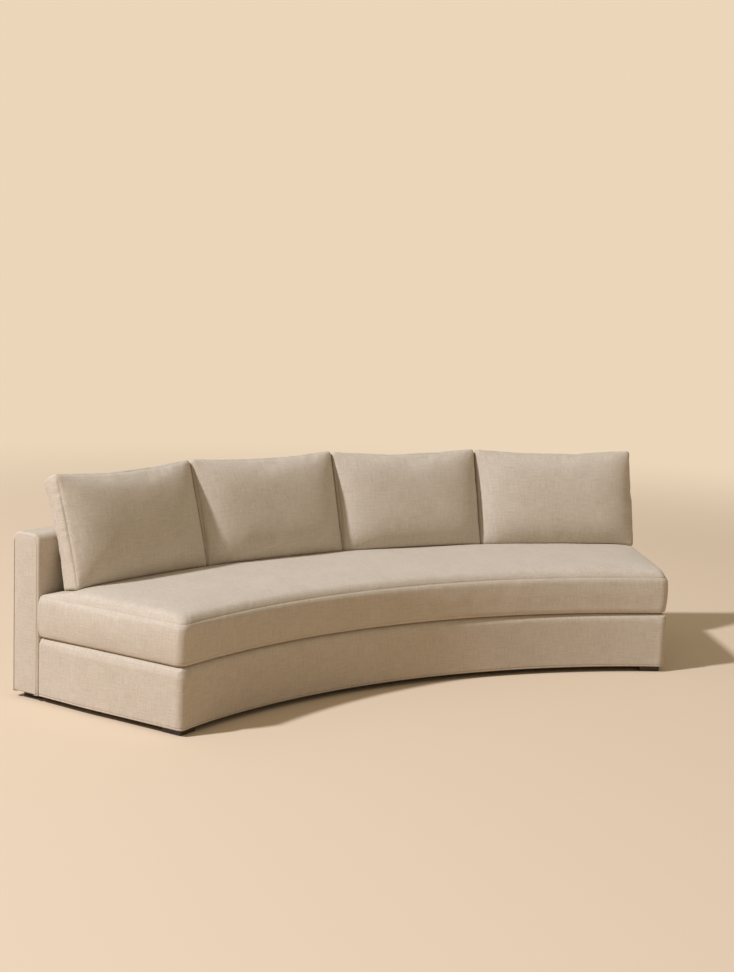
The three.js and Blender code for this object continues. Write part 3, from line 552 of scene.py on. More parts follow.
def puckers(seed, along, distance, size, reach, spacing=0.011):
    """Short folds that run off a seam at right angles to it."""
    fold = 0.6 * smooth_noise(seed, along / spacing) + 0.4 * smooth_noise(seed + 1, along / (2.3 * spacing))
    patch = 0.6 + 0.4 * smooth_noise(seed + 2, along / 0.12)
    length = reach * (0.75 + 0.5 * smooth_noise(seed + 3, along / 0.03))
    start = 1 - np.exp(-(distance / 0.002) ** 2)
    return size * fold * patch * np.exp(-(distance / length) ** 1.5) * start


class Stuffed:
    """A boxed, stuffed form between two seams. Rings run from the middle of the lower face over its side to
    the middle of the upper face, in the form's own axes: x and y across it, z through it."""

    def __init__(self, outline, spine, low, high, depths, heights, lower_depths=None, ideal=None):
        self.outline, self.spine, self.low, self.high = outline, spine, low, high
        self.depths, self.heights = depths, heights
        self.lower_depths = depths if lower_depths is None else lower_depths
        self.ideal = outline if ideal is None else ideal
        self.along = np.cumsum(np.linalg.norm(outline - np.roll(outline, 1, 0), axis=1))
        inward = spine - outline
        self.outward = -inward / np.linalg.norm(inward, axis=1)[:, None]
        self.levels = np.concatenate([-self.lower_depths[::-1], heights, high - low + depths])

    def points(self, upper, lower, side):
        """upper and lower give a face's rise and inset at a ring's plan points and depth; side gives the
        outward push and the rise at a height over the lower seam."""
        rings = []
        for depth in self.lower_depths[::-1]:
            share = 1 - depth / self.lower_depths[-1]
            rise, inset = lower(self.spine + (self.ideal - self.spine) * share, depth)
            rings.append(self.ring(share, -inset, self.low - rise))
        for height in self.heights:
            push, rise = side(height)
            rings.append(self.ring(1, push, self.low + height + rise))
        for depth in self.depths:
            share = 1 - depth / self.depths[-1]
            rise, inset = upper(self.spine + (self.ideal - self.spine) * share, depth)
            rings.append(self.ring(share, -inset, self.high + rise))
        return np.array(rings)

    def ring(self, share, push, z):
        flat = self.spine + (self.outline - self.spine) * share + self.outward * np.reshape(push, (-1, 1))
        return columns(*flat.T, z)

    def creases(self, low_strength, high_strength, width=0.0021):
        """Painted seam shade: how strongly each point belongs to one of the two seams."""
        levels = self.levels[:, None]
        low, high = on_line(levels, width), on_line(levels - (self.high - self.low), width)
        return low * low_strength + high * high_strength + np.zeros(len(self.outline))


def resampled(values, index, wrap):
    """Rows of values at fractional indices, on a smooth curve through the rows."""
    base = np.floor(index).astype(int)
    t = (index - base).reshape((-1,) + (1,) * (values.ndim - 1))

    def row(shift):
        at = base + shift
        return values[at % len(values) if wrap else np.clip(at, 0, len(values) - 1)]

    a, b, c, d = row(-1), row(0), row(1), row(2)
    return b + 0.5 * t * (c - a + t * (2 * a - 5 * b + 4 * c - d + t * (3 * (b - c) + d - a)))


def blurred(grid, passes):
    """A closed grid of values, evened out along and across its rings."""
    for _ in range(passes):
        grid = 0.5 * grid + 0.25 * (np.roll(grid, 1, 1) + np.roll(grid, -1, 1))
        padded = np.concatenate([grid[:1], grid, grid[-1:]])
        grid = 0.5 * grid + 0.25 * (padded[:-2] + padded[2:])
    return grid


def swelling(rough, rough_points, form, voxel, pressure, cap, frames=20):
    """How far cloth over filling under pressure moves each point of a form. It is simulated on a remeshed
    twin of the rough form, capped, read at that form's points and carried over to the fine one."""
    rings, count = rough_points.shape[:2]
    flat = rough_points.reshape(-1, 3)
    _, first, owner = np.unique(np.round(flat, 5), axis=0, return_index=True, return_inverse=True)
    owner = owner.ravel()
    faces = [list(dict.fromkeys(face)) for face in owner[grid_quads(rings, count)].tolist()]
    mesh = bpy.data.meshes.new("twin")
    mesh.from_pydata(flat[first].tolist(), [], [face for face in faces if len(face) > 2])
    twin = bpy.data.objects.new("twin", mesh)
    scene = bpy.context.scene
    scene.collection.objects.link(twin)
    remesh = twin.modifiers.new("Remesh", "REMESH")
    remesh.mode, remesh.voxel_size = "VOXEL", voxel
    even = bpy.data.meshes.new_from_object(twin.evaluated_get(bpy.context.evaluated_depsgraph_get()))
    twin.modifiers.clear()
    twin.data = even
    bpy.data.meshes.remove(mesh)
    before = values_of(even.vertices, "co", 3)
    cloth = twin.modifiers.new("Cloth", "CLOTH")
    cloth.settings.quality = 4
    cloth.settings.bending_stiffness = 1.0
    cloth.settings.use_pressure = True
    cloth.settings.uniform_pressure_force = pressure
    cloth.settings.effector_weights.gravity = 0
    cloth.collision_settings.use_collision = False
    cloth.point_cache.frame_start, cloth.point_cache.frame_end = 1, frames
    for frame in range(1, frames + 1):
        scene.frame_set(frame)
    settled = twin.evaluated_get(bpy.context.evaluated_depsgraph_get())
    moved = values_of(settled.data.vertices, "co", 3) - before
    tree = KDTree(len(before))
    for i, point in enumerate(before.tolist()):
        tree.insert(point, i)
    tree.balance()
    bpy.data.objects.remove(twin)
    bpy.data.meshes.remove(even)
    scene.frame_set(1)
    size = np.linalg.norm(moved, axis=1, keepdims=True)
    moved *= cap * np.tanh(size / cap) / np.maximum(size, 1e-9)
    read = np.empty((len(first), 3))
    for i, point in enumerate(flat[first].tolist()):
        near = tree.find_n(point, 6)
        weights = np.array([1 / (1e-4 + distance ** 2) for _, _, distance in near])
        read[i] = weights @ moved[[index for _, index, _ in near]] / weights.sum()
    moved = blurred(read[owner].reshape(rough_points.shape), 2)
    moved = resampled(moved, np.interp(form.levels, rough.levels, np.arange(rings)), False)
    rough_turns = np.concatenate([[0], rough.along / rough.along[-1]])
    place = np.interp(form.along / form.along[-1], rough_turns, np.arange(count + 1) - 1)
    return resampled(moved.swapaxes(0, 1), place, True).swapaxes(0, 1)


def slice_outline(inner, outer, inset, corner, rear_corner, step, corner_steps):
    """Outline of a slice of the arc, its spine, and how far each point belongs to an end and to the rear."""
    front_turn = end_angle(inner + corner, inset + corner)
    rear_turn = end_angle(outer - rear_corner, inset + rear_corner)
    front = quarter(plan(inner + corner, front_turn), -RADIAL_OUT, END_OUT, corner, corner_steps)
    rear = quarter(plan(outer - rear_corner, rear_turn), END_OUT, RADIAL_OUT, rear_corner, corner_steps)
    count = int(np.linalg.norm(rear[0] - front[-1]) / step)
    end = front[-1] + (rear[0] - front[-1]) * (np.arange(1, count) / count)[:, None]
    half = np.concatenate([front, end, rear])
    arcs = int(2 * rear_turn * outer / step)
    shares = np.arange(1, arcs) / arcs * 2 - 1
    middle = (inner + outer) / 2
    spine_end = end_angle(middle, inset + (outer - inner) / 2)
    tip = np.tile(plan(middle, spine_end), (len(half), 1))
    outline = np.concatenate([
        plan(inner, shares * front_turn), half, plan(outer, -shares * rear_turn), mirrored(half)])
    spine = np.concatenate([
        plan(middle, shares * spine_end), tip, plan(middle, -shares * spine_end), tip * [-1, 1]])
    arc = np.zeros(len(shares))
    growing = np.linspace(0, 1, len(rear))
    towards_end = np.concatenate([np.linspace(0, 1, len(front)), np.ones(len(end)), growing[::-1]])
    towards_rear = np.concatenate([np.zeros(len(front) + len(end)), growing])
    at_end = np.concatenate([arc, towards_end, arc, towards_end[::-1]])
    at_rear = np.concatenate([arc, towards_rear, arc + 1, towards_rear[::-1]])
    return outline, spine, at_end, at_rear


def seat_crown(flat):
    """Rise of the seat over its seam at plan points."""
    radius, _, from_end = polar(flat)
    share = (radius - SEAT_FRONT) / (SEAT_REAR - SEAT_FRONT)
    rise = 1 - np.maximum(0, 1 - share / 0.45) ** 2.4
    fall = np.minimum(1, np.maximum(0, 1 - share) / 0.24) ** 1.7
    domed = np.minimum(rise, fall) * (1 - np.maximum(0, 1 - from_end / 0.16) ** 2.6)
    rolled = (1 - np.exp(-np.maximum(0, radius - SEAT_FRONT) / 0.026)) * (1 - np.exp(-from_end / 0.016))
    rolled = rolled * np.minimum(1, np.maximum(0, SEAT_REAR - radius) / 0.15) ** 0.9
    dent = 0.004 * smoothstep(radius, 3.19, 3.215) * np.minimum(1, from_end / 0.05)
    return SEAT_CROWN * (0.28 * domed + 0.72 * rolled) - dent


def seat_form(step, corner_steps, depths, heights, lower_depths):
    """The seat cushion's form with its points and painted seam shade, and how freely each point swells."""
    outline, spine, at_end, at_rear = slice_outline(
        SEAT_FRONT, SEAT_REAR, 0, SEAT_CORNER, SEAT_REAR_CORNER, step, corner_steps)
    form = Stuffed(outline, spine, SEAT_BOTTOM, SEAT_SEAM, depths, heights, lower_depths)
    edge = 0.030 - 0.016 * at_rear
    low_edge = 0.018 - 0.006 * at_end
    groove = 0.0005 * (1 - 0.9 * at_end)
    fold = 0.0030 * (1 - 0.5 * at_end)
    zipped = at_rear * (np.abs(polar(outline)[1]) < math.radians(11.1))
    bowed = 0.0015 - 0.0075 * at_rear + 0.008 * at_end

    def droop(depth):
        return 0.95 * (1 - at_rear) * BASE_RIM_DROP * (1 - smoothstep(depth, 0.032, 0.070))

    def upper(flat, depth):
        back, short = seam_shape(depth, edge, groove, SEAM_WIDTH)
        rumple = waves(11, *flat.T, (0.0016, 0.34, 0.21), (0.0008, 0.12, 0.10), (0.0003, 0.045, 0.05))
        rumple = rumple * min(1, depth / 0.05)
        return seat_crown(flat) - back + rumple + puckers(21, form.along, depth, fold, 0.042, 0.016), short

    def lower(flat, depth):
        back, short = seam_shape(depth, low_edge, 0, 1)
        return droop(depth) - back, short

    def side(up):
        down = SEAT_HEIGHT - up
        back, short = seam_shape(down, edge, groove, SEAM_WIDTH)
        low_back, low_short = seam_shape(up, low_edge, 0, 1)
        bow = 4 * up * down / SEAT_HEIGHT ** 2
        wave = waves(51, form.along, up, (0.0009, 0.19, 0.13), (0.00045, 0.07, 0.2))
        push = (bowed + wave) * bow - back - low_back
        push = push - 0.0012 * on_line(up - LOW_SEAM, LOW_SEAM_WIDTH)
        push = push + puckers(31, form.along, down, fold * 0.9, 0.04, 0.016)
        push = push + puckers(41, form.along, up, 0.0005, 0.02) - zipped * zip_groove(up, SEAT_HEIGHT)
        return push, low_short - short - droop(0) * (down / SEAT_HEIGHT) ** 1.5

    points = form.points(upper, lower, side)
    # Painted shade along the upper seam and along the lower seam line.
    creases = form.creases(0, 0.24 * (1 - 0.85 * at_end))
    creases += 0.4 * on_line(form.levels - LOW_SEAM, LOW_SEAM_WIDTH)[:, None]
    radius, _, from_end = polar(points)
    soft = smoothstep(form.levels, 0.02, 0.09)[:, None] * (1 - 0.7 * np.exp(-from_end / 0.07))
    soft = soft * (1 - np.exp(-np.maximum(0, BACK_FACE - radius) / 0.07))
    return form, points, creases, soft


def seat_cushion():
    """Builds the seat cushion and returns its upper face, for the back cushions that stand on it."""
    depths = graded(SEAT_REACH, 0.0125)
    lower_depths = np.array([0, 0.003, 0.008, 0.02, 0.035, 0.044, 0.052, 0.06, 0.07, 0.15, SEAT_REACH])
    form, points, creases, soft = seat_form(
        0.0055, 7, depths, graded(SEAT_HEIGHT, 0.0085, mirror=True), lower_depths)
    rough, rough_points, _, _ = seat_form(
        0.016, 2, np.linspace(0, SEAT_REACH, 23), np.linspace(0, SEAT_HEIGHT, 9)[1:-1],
        np.linspace(0, SEAT_REACH, 12))
    points = points + soft[..., None] * swelling(rough, rough_points, form, 0.018, 0.12, 0.006, 12)
    world = lift_plan(points[..., :2], points[..., 2])
    piece = make_piece("seat_cushion", world, FABRIC, "seat_cushion", "upholstery", crease=creases)
    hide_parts("seat_cushion_cover", "seat_cushion_core")
    upper = world[-len(depths) - 1:]
    return BVHTree.FromPolygons(upper.reshape(-1, 3).tolist(), grid_quads(*upper.shape[:2]))


def cushion_frame(angle):
    """Matrix from a back cushion's own axes to the frame: x across, y up its face, z out of it."""
    turn = Matrix.Translation((0, CENTRE_Y, 0)) @ Matrix.Rotation(-angle, 4, "Z")
    lean = Matrix.Translation(CUSHION_FOOT) @ Matrix.Rotation(math.pi / 2 - CUSHION_LEAN, 4, "X")
    return turn @ lean @ Matrix.Translation((0, CUSHION_HEIGHT / 2, -CUSHION_BOXING))


def cushion_outline(width, step, corner_steps):
    """Outline of a back cushion's face, the same without its dips, and its spine. The top dips between the
    corners, the sides less, and the bottom is straight because it stands on the seat."""
    half_width, half_height, corner = width / 2, CUSHION_HEIGHT / 2, CUSHION_CORNER
    side_dip, top_dip = 0.0035, 0.015
    x, y, reach = half_width - corner, half_height - corner, half_width - half_height
    right, up = np.array([1.0, 0]), np.array([0, 1.0])
    flats, rises = int(2 * x / step), int(2 * y / step)
    across, upward = np.arange(1, flats) / flats * 2 - 1, np.arange(1, rises) / rises * 2 - 1

    def outline(side_dip, top_dip):
        side, top = side_dip * (1 - upward ** 2), top_dip * (1 - across ** 2)
        return [
            quarter((x, -y), -up, right, corner, corner_steps), columns(half_width - side, y * upward),
            quarter((x, y), right, up, corner, corner_steps), columns(-x * across, half_height - top),
            quarter((-x, y), up, -right, corner, corner_steps), columns(side - half_width, -y * upward),
            quarter((-x, -y), -right, -up, corner, corner_steps),
            columns(x * across, -half_height),
        ]

    ends = [reach, reach, reach, None, -reach, -reach, -reach, None]
    parts = outline(0, 0)
    spine_x = np.concatenate([points[:, 0] * reach / x if end is None else np.full(len(points), end)
                              for points, end in zip(parts, ends)])
    return np.concatenate(outline(side_dip, top_dip)), np.concatenate(parts), columns(spine_x, 0.0)


def cushion_form(width, seed, crown, step, corner_steps, depths, heights):
    """A back cushion's form with its points and painted seam shade, and how freely each point swells."""
    outline, ideal, spine = cushion_outline(width, step, corner_steps)
    form = Stuffed(outline, spine, 0, CUSHION_BOXING, depths, heights, ideal=ideal)
    half_width, half_height = width / 2, CUSHION_HEIGHT / 2
    at_bottom = np.clip((-ideal[:, 1] - half_height + 0.02) / 0.02, 0, 1)
    zipped = (ideal[:, 1] < -half_height + 0.002) * (np.abs(ideal[:, 0]) < width * 0.38)
    at_top = smoothstep(ideal[:, 1], half_height - 0.03, half_height - 0.01)
    groove = 0.0005 * (1 - 0.7 * at_top)
    bowed = 0.008 - 0.014 * at_bottom

    def dome(flat):
        across = np.minimum(1, np.abs(flat[:, 0]) / half_width)
        upward = np.minimum(1, np.abs(flat[:, 1]) / half_height)
        full = (1 - across ** 4.4) * (1 - upward ** 3)
        inward = [(1 - across) * half_width, (1 - upward) * half_height]
        edge = np.prod([1 - np.exp(-distance / 0.055) for distance in inward], axis=0)
        return 0.4 * full + 0.6 * edge

    def rumple(flat, number):
        x, y = flat.T
        slow = 0.0022 * smooth_noise(number, x / 0.21 + 3, y / 0.16)
        return slow + waves(number + 1, x, y, (0.0010, 0.085, 0.11), (0.0003, 0.035, 0.04))

    def face(height, number):
        def rise(flat, depth):
            back, short = seam_shape(depth, SEAM_ROUND, groove, SEAM_WIDTH)
            lift = height * dome(flat) - back + rumple(flat, number) * min(1, depth / 0.05)
            lift = lift + puckers(number + 5, form.along, depth, 0.0012, 0.065, 0.021)
            return lift + puckers(number + 3, form.along, depth, 0.0036, 0.04, 0.015), short
        return rise

    def side(up):
        down = CUSHION_BOXING - up
        edge = min(up, down)
        back, short = seam_shape(edge, SEAM_ROUND, groove, SEAM_WIDTH)
        bow = 4 * up * down / CUSHION_BOXING ** 2
        folds = puckers(seed + (31 if up > down else 41), form.along, edge, 0.0050, 0.036, 0.015)
        push = bowed * bow - back + folds * (1 - 0.9 * at_bottom)
        push = push + bow * waves(seed + 51, form.along, up, (0.0010, 0.09, 0.06))
        push = push - zipped * zip_groove(up, CUSHION_BOXING)
        return push, short if up < down else -short

    points = form.points(face(crown, seed), face(0.010, seed + 60), side)
    soft = 1 - np.exp(-np.maximum(0, points[..., 1] + half_height) / 0.05)
    return form, points, form.creases(0.1, 0.25 * (1 - 0.7 * at_top)), soft


def spread(local, half_width, left, right, rise):
    """Widens and raises a back cushion a little, more so at its top."""
    up = (local[:, 1] + CUSHION_HEIGHT / 2) / CUSHION_HEIGHT
    low, high = np.where(local[:, :1] < 0, left, right).T
    wider = (low + (high - low) * up) * local[:, 0] / half_width
    behind = np.clip(1 - local[:, 2] / CUSHION_BOXING, 0, 1)
    slack = 0.012 * behind * np.clip(up, 0, 1) ** 3 * np.abs(local[:, 0] / half_width) ** 6
    return local + columns(wider, rise * up - slack, 0.0)


def kept_apart(world, number):
    """Presses a cushion's sides flat where they would pass the radial plane between it and its neighbour."""
    radius, turn, _ = polar(world - CENTRE)
    spans = [math.radians(degrees) + math.asin(width / 2 / CUSHION_FOOT.y) * np.array([-1, 1])
             for _, width, degrees in CUSHIONS]
    planes = [-math.inf, *((near[1] + far[0]) / 2 for near, far in zip(spans, spans[1:])), math.inf]
    turn = np.clip(turn, planes[number] + 0.0001, planes[number + 1] - 0.0001)
    return lift_plan(plan(radius, turn), world[:, 2])


def back_cushion(number, name, width, degrees, seat):
    """Builds a back cushion that stands on the seat's upper face."""
    matrix = cushion_frame(math.radians(degrees))
    seed, half_height = 100 * (number + 1), CUSHION_HEIGHT / 2
    crown = 0.057
    beside_zip = np.array([-6.6, -5.6, -4.8, 4.8, 5.6, 6.6]) / 1000
    heights = np.union1d(graded(CUSHION_BOXING, 0.0065, mirror=True), CUSHION_BOXING / 2 + beside_zip)
    form, points, creases, soft = cushion_form(
        width, seed, crown, 0.0046, 5, graded(half_height, 0.0105), heights)
    rough, rough_points, _, _ = cushion_form(
        width, seed, crown, 0.0115, 2, np.linspace(0, half_height, 20),
        np.linspace(0, CUSHION_BOXING, 8)[1:-1])
    points = points + soft[..., None] * swelling(rough, rough_points, form, 0.010, 0.6, 0.016)
    local = spread(points.reshape(-1, 3), width / 2, *SPREAD[number])
    world = kept_apart(placed(local, matrix), number)
    above_foot = local[:, 1] + half_height
    foot = np.clip(1 - above_foot / 0.11, 0, 1)
    gap = world[:, 2] - (SEAT_SEAM + seat_crown(world - CENTRE)) - above_foot * math.cos(CUSHION_LEAN)
    world[:, 2] -= np.clip(gap, 0, 0.012) * foot ** 1.6
    for i in np.flatnonzero(foot > 0.4):
        hit = seat.ray_cast(Vector((*world[i, :2], 2)), Vector((0, 0, -1)))[0]
        if hit is not None:
            world[i, 2] = max(world[i, 2], hit.z + 0.0006)
    piece = make_piece(name, world.reshape(points.shape), FABRIC, name, "upholstery",
                       to_local=matrix.inverted(), offset=1.3 * (number + 1), crease=creases)
    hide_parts(name + "_cover", name + "_core")


seat_surface = seat_cushion()
for number, (name, width, degrees) in enumerate(CUSHIONS):
    back_cushion(number, name, width, degrees, seat_surface)


# Base and back covers
def sweep(name, rings, material, body, slot, **more):
    """A piece swept from closed sections, with both ends closed."""
    return make_piece(name, rings, material, body, slot, swept_faces(*rings.shape[:2]), **more)


def skirt_path(inset, step):
    """Plan of the base's front and ends at an inset, with each point's distance from the nearer rear end."""
    rear = math.sqrt(BACK_FACE ** 2 - FLANGE ** 2) - FIT
    corner = BASE_CORNER * max(0.0, 1 - inset / COVER_WALL)
    radius = FRONT + inset + corner
    turn = end_angle(radius, inset + corner)
    front = quarter(plan(radius, turn), -RADIAL_OUT, END_OUT, corner, 6)
    rear_point = RADIAL_OUT * rear - END_OUT * inset
    run = np.linalg.norm(rear_point - front[-1])
    graded_run = np.concatenate([[0, 0.0015, 0.004, 0.0075, 0.0115, 0.017],
                                 np.linspace(0.017, 0.68, int(0.66 / step))[1:]]) / 0.68
    end = rear_point + (front[-1] - rear_point) * graded_run[:-1, None]
    arcs = int(2 * HALF * FRONT / step)
    arc = plan(FRONT + inset, turn * (np.arange(1, arcs) / arcs * 2 - 1))
    half = np.concatenate([front, end[::-1]])
    from_rear = np.concatenate([np.full(len(front), run), (graded_run[:-1] * run)[::-1]])
    path = np.concatenate([mirrored(half), arc, half])
    return path, np.concatenate([from_rear[::-1], np.full(len(arc), run), from_rear])


def base_cover():
    """The base's cover: a closed section up its outside, over the rim and down its inside, along the base."""
    top = BASE_TOP - UNDERSIDE
    side = np.concatenate([[0.003, 0.0055, 0.007, 0.008, 0.009, 0.0105, 0.0145],
                           np.arange(0.024, top - BASE_EDGE[1] - BASE_RIM_DROP, 0.009)])
    outer = [(0.0035, 0.0, 0.0), (0.001, 0.0012, 0.0)] + [(0.0, level, 1.0) for level in side]
    for turn in np.linspace(0, math.pi / 2, 7):
        rolled = BASE_EDGE[1] * (1 - math.sin(turn)) + BASE_RIM_DROP
        outer.append((BASE_EDGE[0] * (1 - math.cos(turn)), top - rolled, 0.7))
    insets = np.array([0.043, 0.049, 0.055, 0.061, 0.067, 0.08])
    levels = top - BASE_RIM_DROP * (1 - smoothstep(insets, 0.035, 0.075))
    outer += [(inset, level, 0.25) for inset, level in zip(insets, levels)]
    wall = top - COVER_WALL
    inner = [(FLANGE, top), (FLANGE, wall), (0.078, wall), (0.036, wall - BASE_RIM_DROP),
             (COVER_WALL, wall - BASE_RIM_DROP), (COVER_WALL, 0.12), (COVER_WALL, 0.002),
             (TURN_IN, 0.002), (TURN_IN, 0.0)]
    lines, creases = [], []
    for inset, level, soft, shown in [(*point, 1) for point in outer] + [(*point, 0, 0) for point in inner]:
        path, from_rear = skirt_path(inset, 0.0075)
        outward = path - skirt_path(inset + 0.001, 0.0075)[0]
        outward /= np.linalg.norm(outward, axis=1)[:, None]
        along = np.cumsum(np.linalg.norm(path - np.roll(path, 1, 0), axis=1))
        push = np.zeros(len(path))
        z = np.full(len(path), UNDERSIDE + level)
        hem = shown * on_line(level - HEM, HEM_WIDTH)
        if shown:
            fuller = np.exp(-polar(path)[2] / 0.12) * smoothstep(from_rear, 0.02, 0.30)
            wave = waves(61, along, level, (0.0009, 0.22, 0.16), (0.00045, 0.08, 0.25))
            push += 0.010 * fuller * (1.0 if level < 0.1 else soft)
            push += soft * (wave + 0.0012) - 0.0018 * hem
            push += puckers(63, along, abs(level - HEM), 0.0006, 0.016, 0.016) * (level > HEM) * soft
            near = np.clip(1 - from_rear / 0.011, 0, 1)
            drop = 0.011 * (1 - np.sqrt(1 - near ** 2))
            z -= drop * level / top
            push -= 0.35 * drop
            if inset > BASE_EDGE[0]:
                z -= 0.0004 * (1 + smooth_noise(64, along / 0.1, inset / 0.05)) * (inset < 0.08)
        lines.append(lift_plan(path + outward * push[:, None], z))
        # Painted shade along the hem line.
        creases.append(np.full(len(path), 0.45 * hem))
    piece = sweep("base_upholstery", np.stack(lines, 1), FABRIC, "frame", "upholstery",
                  offset=0.31, crease=np.stack(creases, 1))
    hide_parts("base_cover")


def back_section(depth, bottom, fine):
    """The back's section at a depth under its skin, as radius and height, up its front and down its rear."""
    round_ = (BACK_EDGE if fine else BACK_INNER_EDGE) - depth
    low, high, top = BACK_FACE + depth, OUTER - depth, (BACK_TOP if fine else BACK_FRAME_TOP) - depth
    steps = 7 if fine else 3
    rows = int((top - round_ - bottom) / (0.011 if fine else 0.08))
    rise = np.concatenate([[0, 0.003, 0.0055, 0.007, 0.008, 0.009, 0.0105] if fine else [0],
                           np.linspace(0.018 if fine else 0.05, top - round_ - bottom, rows)])[:-1]
    inside = columns(low, bottom + rise)
    first = quarter((low + round_, top - round_), np.array([-1.0, 0]), np.array([0, 1.0]), round_, steps)
    flat = columns(np.linspace(low + round_, high - round_, 11 if fine else 3)[1:-1], top)
    second = quarter((high - round_, top - round_), np.array([0, 1.0]), np.array([1.0, 0]), round_, steps)
    outside = columns(high, bottom + rise)[::-1]
    return np.concatenate([inside, first, flat, second, outside])


def back_cover():
    """The back's cover: a closed section over its top, swept along the arc with rounded ends."""
    lip = UNDERSIDE + 0.002
    inside = np.concatenate([
        [(OUTER - TURN_IN, UNDERSIDE), (OUTER - TURN_IN, lip)],
        back_section(COVER_WALL, lip, False)[::-1],
        [(BACK_FACE + TURN_IN, lip), (BACK_FACE + TURN_IN, UNDERSIDE)],
    ])

    def ring(depth, share, inset):
        """The section at a depth under the skin and a share of the way to an end, and its painted shade along
        the hem.
        """
        skin = back_section(depth, UNDERSIDE, True)
        count, flow = len(skin), np.linspace(0, 1, len(skin))
        radius, z = np.concatenate([skin, inside]).T
        turn = end_angle(radius, inset) * share
        run = turn[:count] * radius[:count]
        soft = np.clip(np.minimum(flow, 1 - flow) / 0.06, 0, 1)
        soft = soft * min(1.0, (1 - abs(share)) * HALF * 3 / 0.1 + 0.2)
        wave = waves(71, run, flow, (1, 0.26, 1 / 9), (0.5, 0.09, 1 / 6))
        sink = 0.0012 * soft * (wave - 0.8)
        side = np.sign(radius[:count] - (BACK_FACE + OUTER) / 2)
        upward = np.clip((z[:count] - (BACK_TOP - BACK_EDGE)) / BACK_EDGE, 0, 1)
        hem = on_line(z[:count] - UNDERSIDE - HEM, HEM_WIDTH)
        radius[:count] += side * (sink * (1 - upward) - 0.0018 * hem)
        z[:count] += sink * upward
        return lift_plan(plan(radius, turn), z), np.concatenate([0.45 * hem, np.zeros(len(inside))])

    turns = np.arange(5) / 5 * math.pi / 2
    corner = [(BACK_END * (1 - math.sin(turn)), BACK_END * (1 - math.cos(turn))) for turn in turns]
    stations = [(depth, -1.0, inset) for depth, inset in corner]
    stations += [(0.0, share, BACK_END) for share in np.linspace(-1, 1, int(2 * HALF * OUTER / 0.0095))]
    stations += [(depth, 1.0, inset) for depth, inset in corner[::-1]]
    rings, creases = (np.array(part) for part in zip(*(ring(*station) for station in stations)))
    piece = sweep("back_upholstery", rings, FABRIC, "frame", "upholstery", offset=0.57, crease=creases)
    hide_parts("back_cover")


def end_panel(name, side):
    """Padded panel that closes an end of the back. Its axes: x along the radius, y up, z out of the end."""
    depth = COVER_WALL + 0.0002
    section = back_section(depth, UNDERSIDE + 0.0023, True)
    base = columns(np.linspace(section[-1, 0], section[0, 0], 18)[1:-1], section[0, 1])
    outline = np.concatenate([section, base])
    half = (OUTER - BACK_FACE) / 2 - depth
    middle = (OUTER + BACK_FACE) / 2
    spine = columns(middle, np.clip(outline[:, 1], section[0, 1] + half, BACK_TOP - depth - half))
    form = Stuffed(outline, spine, 0, PANEL_DEPTH, graded(half, 0.007),
                   np.array([0.0, 0.004, 0.008, 0.0104, PANEL_DEPTH]), np.array([0, 0.01, half]))

    def seam(distance):
        return seam_shape(distance, 0.003, 0.0006, 0.002)

    def upper(flat, d):
        back, short = seam(d)
        bulge = 0.0026 * (1 - (1 - d / half) ** 2.4)
        wave = waves(81, *flat.T, (0.0006, 0.05, 0.12)) * min(1, d / 0.03)
        return bulge - back + wave + puckers(82, form.along, d, 0.0006, 0.014), short

    def wall(up):
        back, short = seam(PANEL_DEPTH - up)
        return -back, -short

    points = form.points(upper, lambda flat, d: (0.0, 0.0), wall)
    flat = points[..., :1] * RADIAL_OUT * [side, 1] + (points[..., 2:] - 0.012) * END_OUT * [side, 1]
    # Painted shade along the panel's seam.
    piece = make_piece(name + "_upholstery", lift_plan(flat, points[..., 1]), FABRIC, "frame", "upholstery",
                       offset=0.83 + 0.2 * side, crease=form.creases(0, 0.3))
    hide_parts(name)


base_cover()
back_cover()
end_panel("left_end_panel", -1)
end_panel("right_end_panel", 1)

# Deck, suspension and dust covers
def deck():
    """Padded deck under the seat cushion, sewn to the base cover's turned-in edge."""
    inset = FLANGE + FIT
    outline, spine, _, _ = slice_outline(FRONT + inset, BACK_FACE - FIT, inset, 0.004, 0.004, 0.02, 2)
    height = DECK_TOP - RAIL_TOP
    depths = np.array([0, 0.003, 0.007, 0.012, 0.02, 0.032, 0.05, 0.08, 0.12, 0.17, 0.22, 0.27, 0.31])
    form = Stuffed(outline, spine, RAIL_TOP, DECK_TOP, depths, np.linspace(0, height, 9),
                   np.array([0, 0.004, 0.05, 0.31]))

    def low_seam(distance):
        return seam_shape(distance, 0.004, 0, 1)

    def high_seam(distance):
        return seam_shape(distance, 0.005, 0.0008, 0.003)

    def upper(flat, depth):
        back, short = high_seam(depth)
        wave = (waves(91, *flat.T, (0.0003, 0.11, 0.09)) - 0.0003) * min(1, depth / 0.03)
        return wave - back + puckers(92, form.along, depth, 0.0003, 0.02, 0.02), short

    def lower(flat, depth):
        back, short = low_seam(depth)
        return -back, short

    def side(up):
        back, short = high_seam(height - up)
        low_back, low_short = low_seam(up)
        return -back - low_back, low_short - short

    points = form.points(upper, lower, side)
    # Painted shade along the deck's upper seam.
    piece = make_piece("deck", lift_plan(points[..., :2], points[..., 2]), DECKING, "frame", "upholstery",
                       crease=form.creases(0, 0.8))
    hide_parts("deck_cloth", "deck_pad")


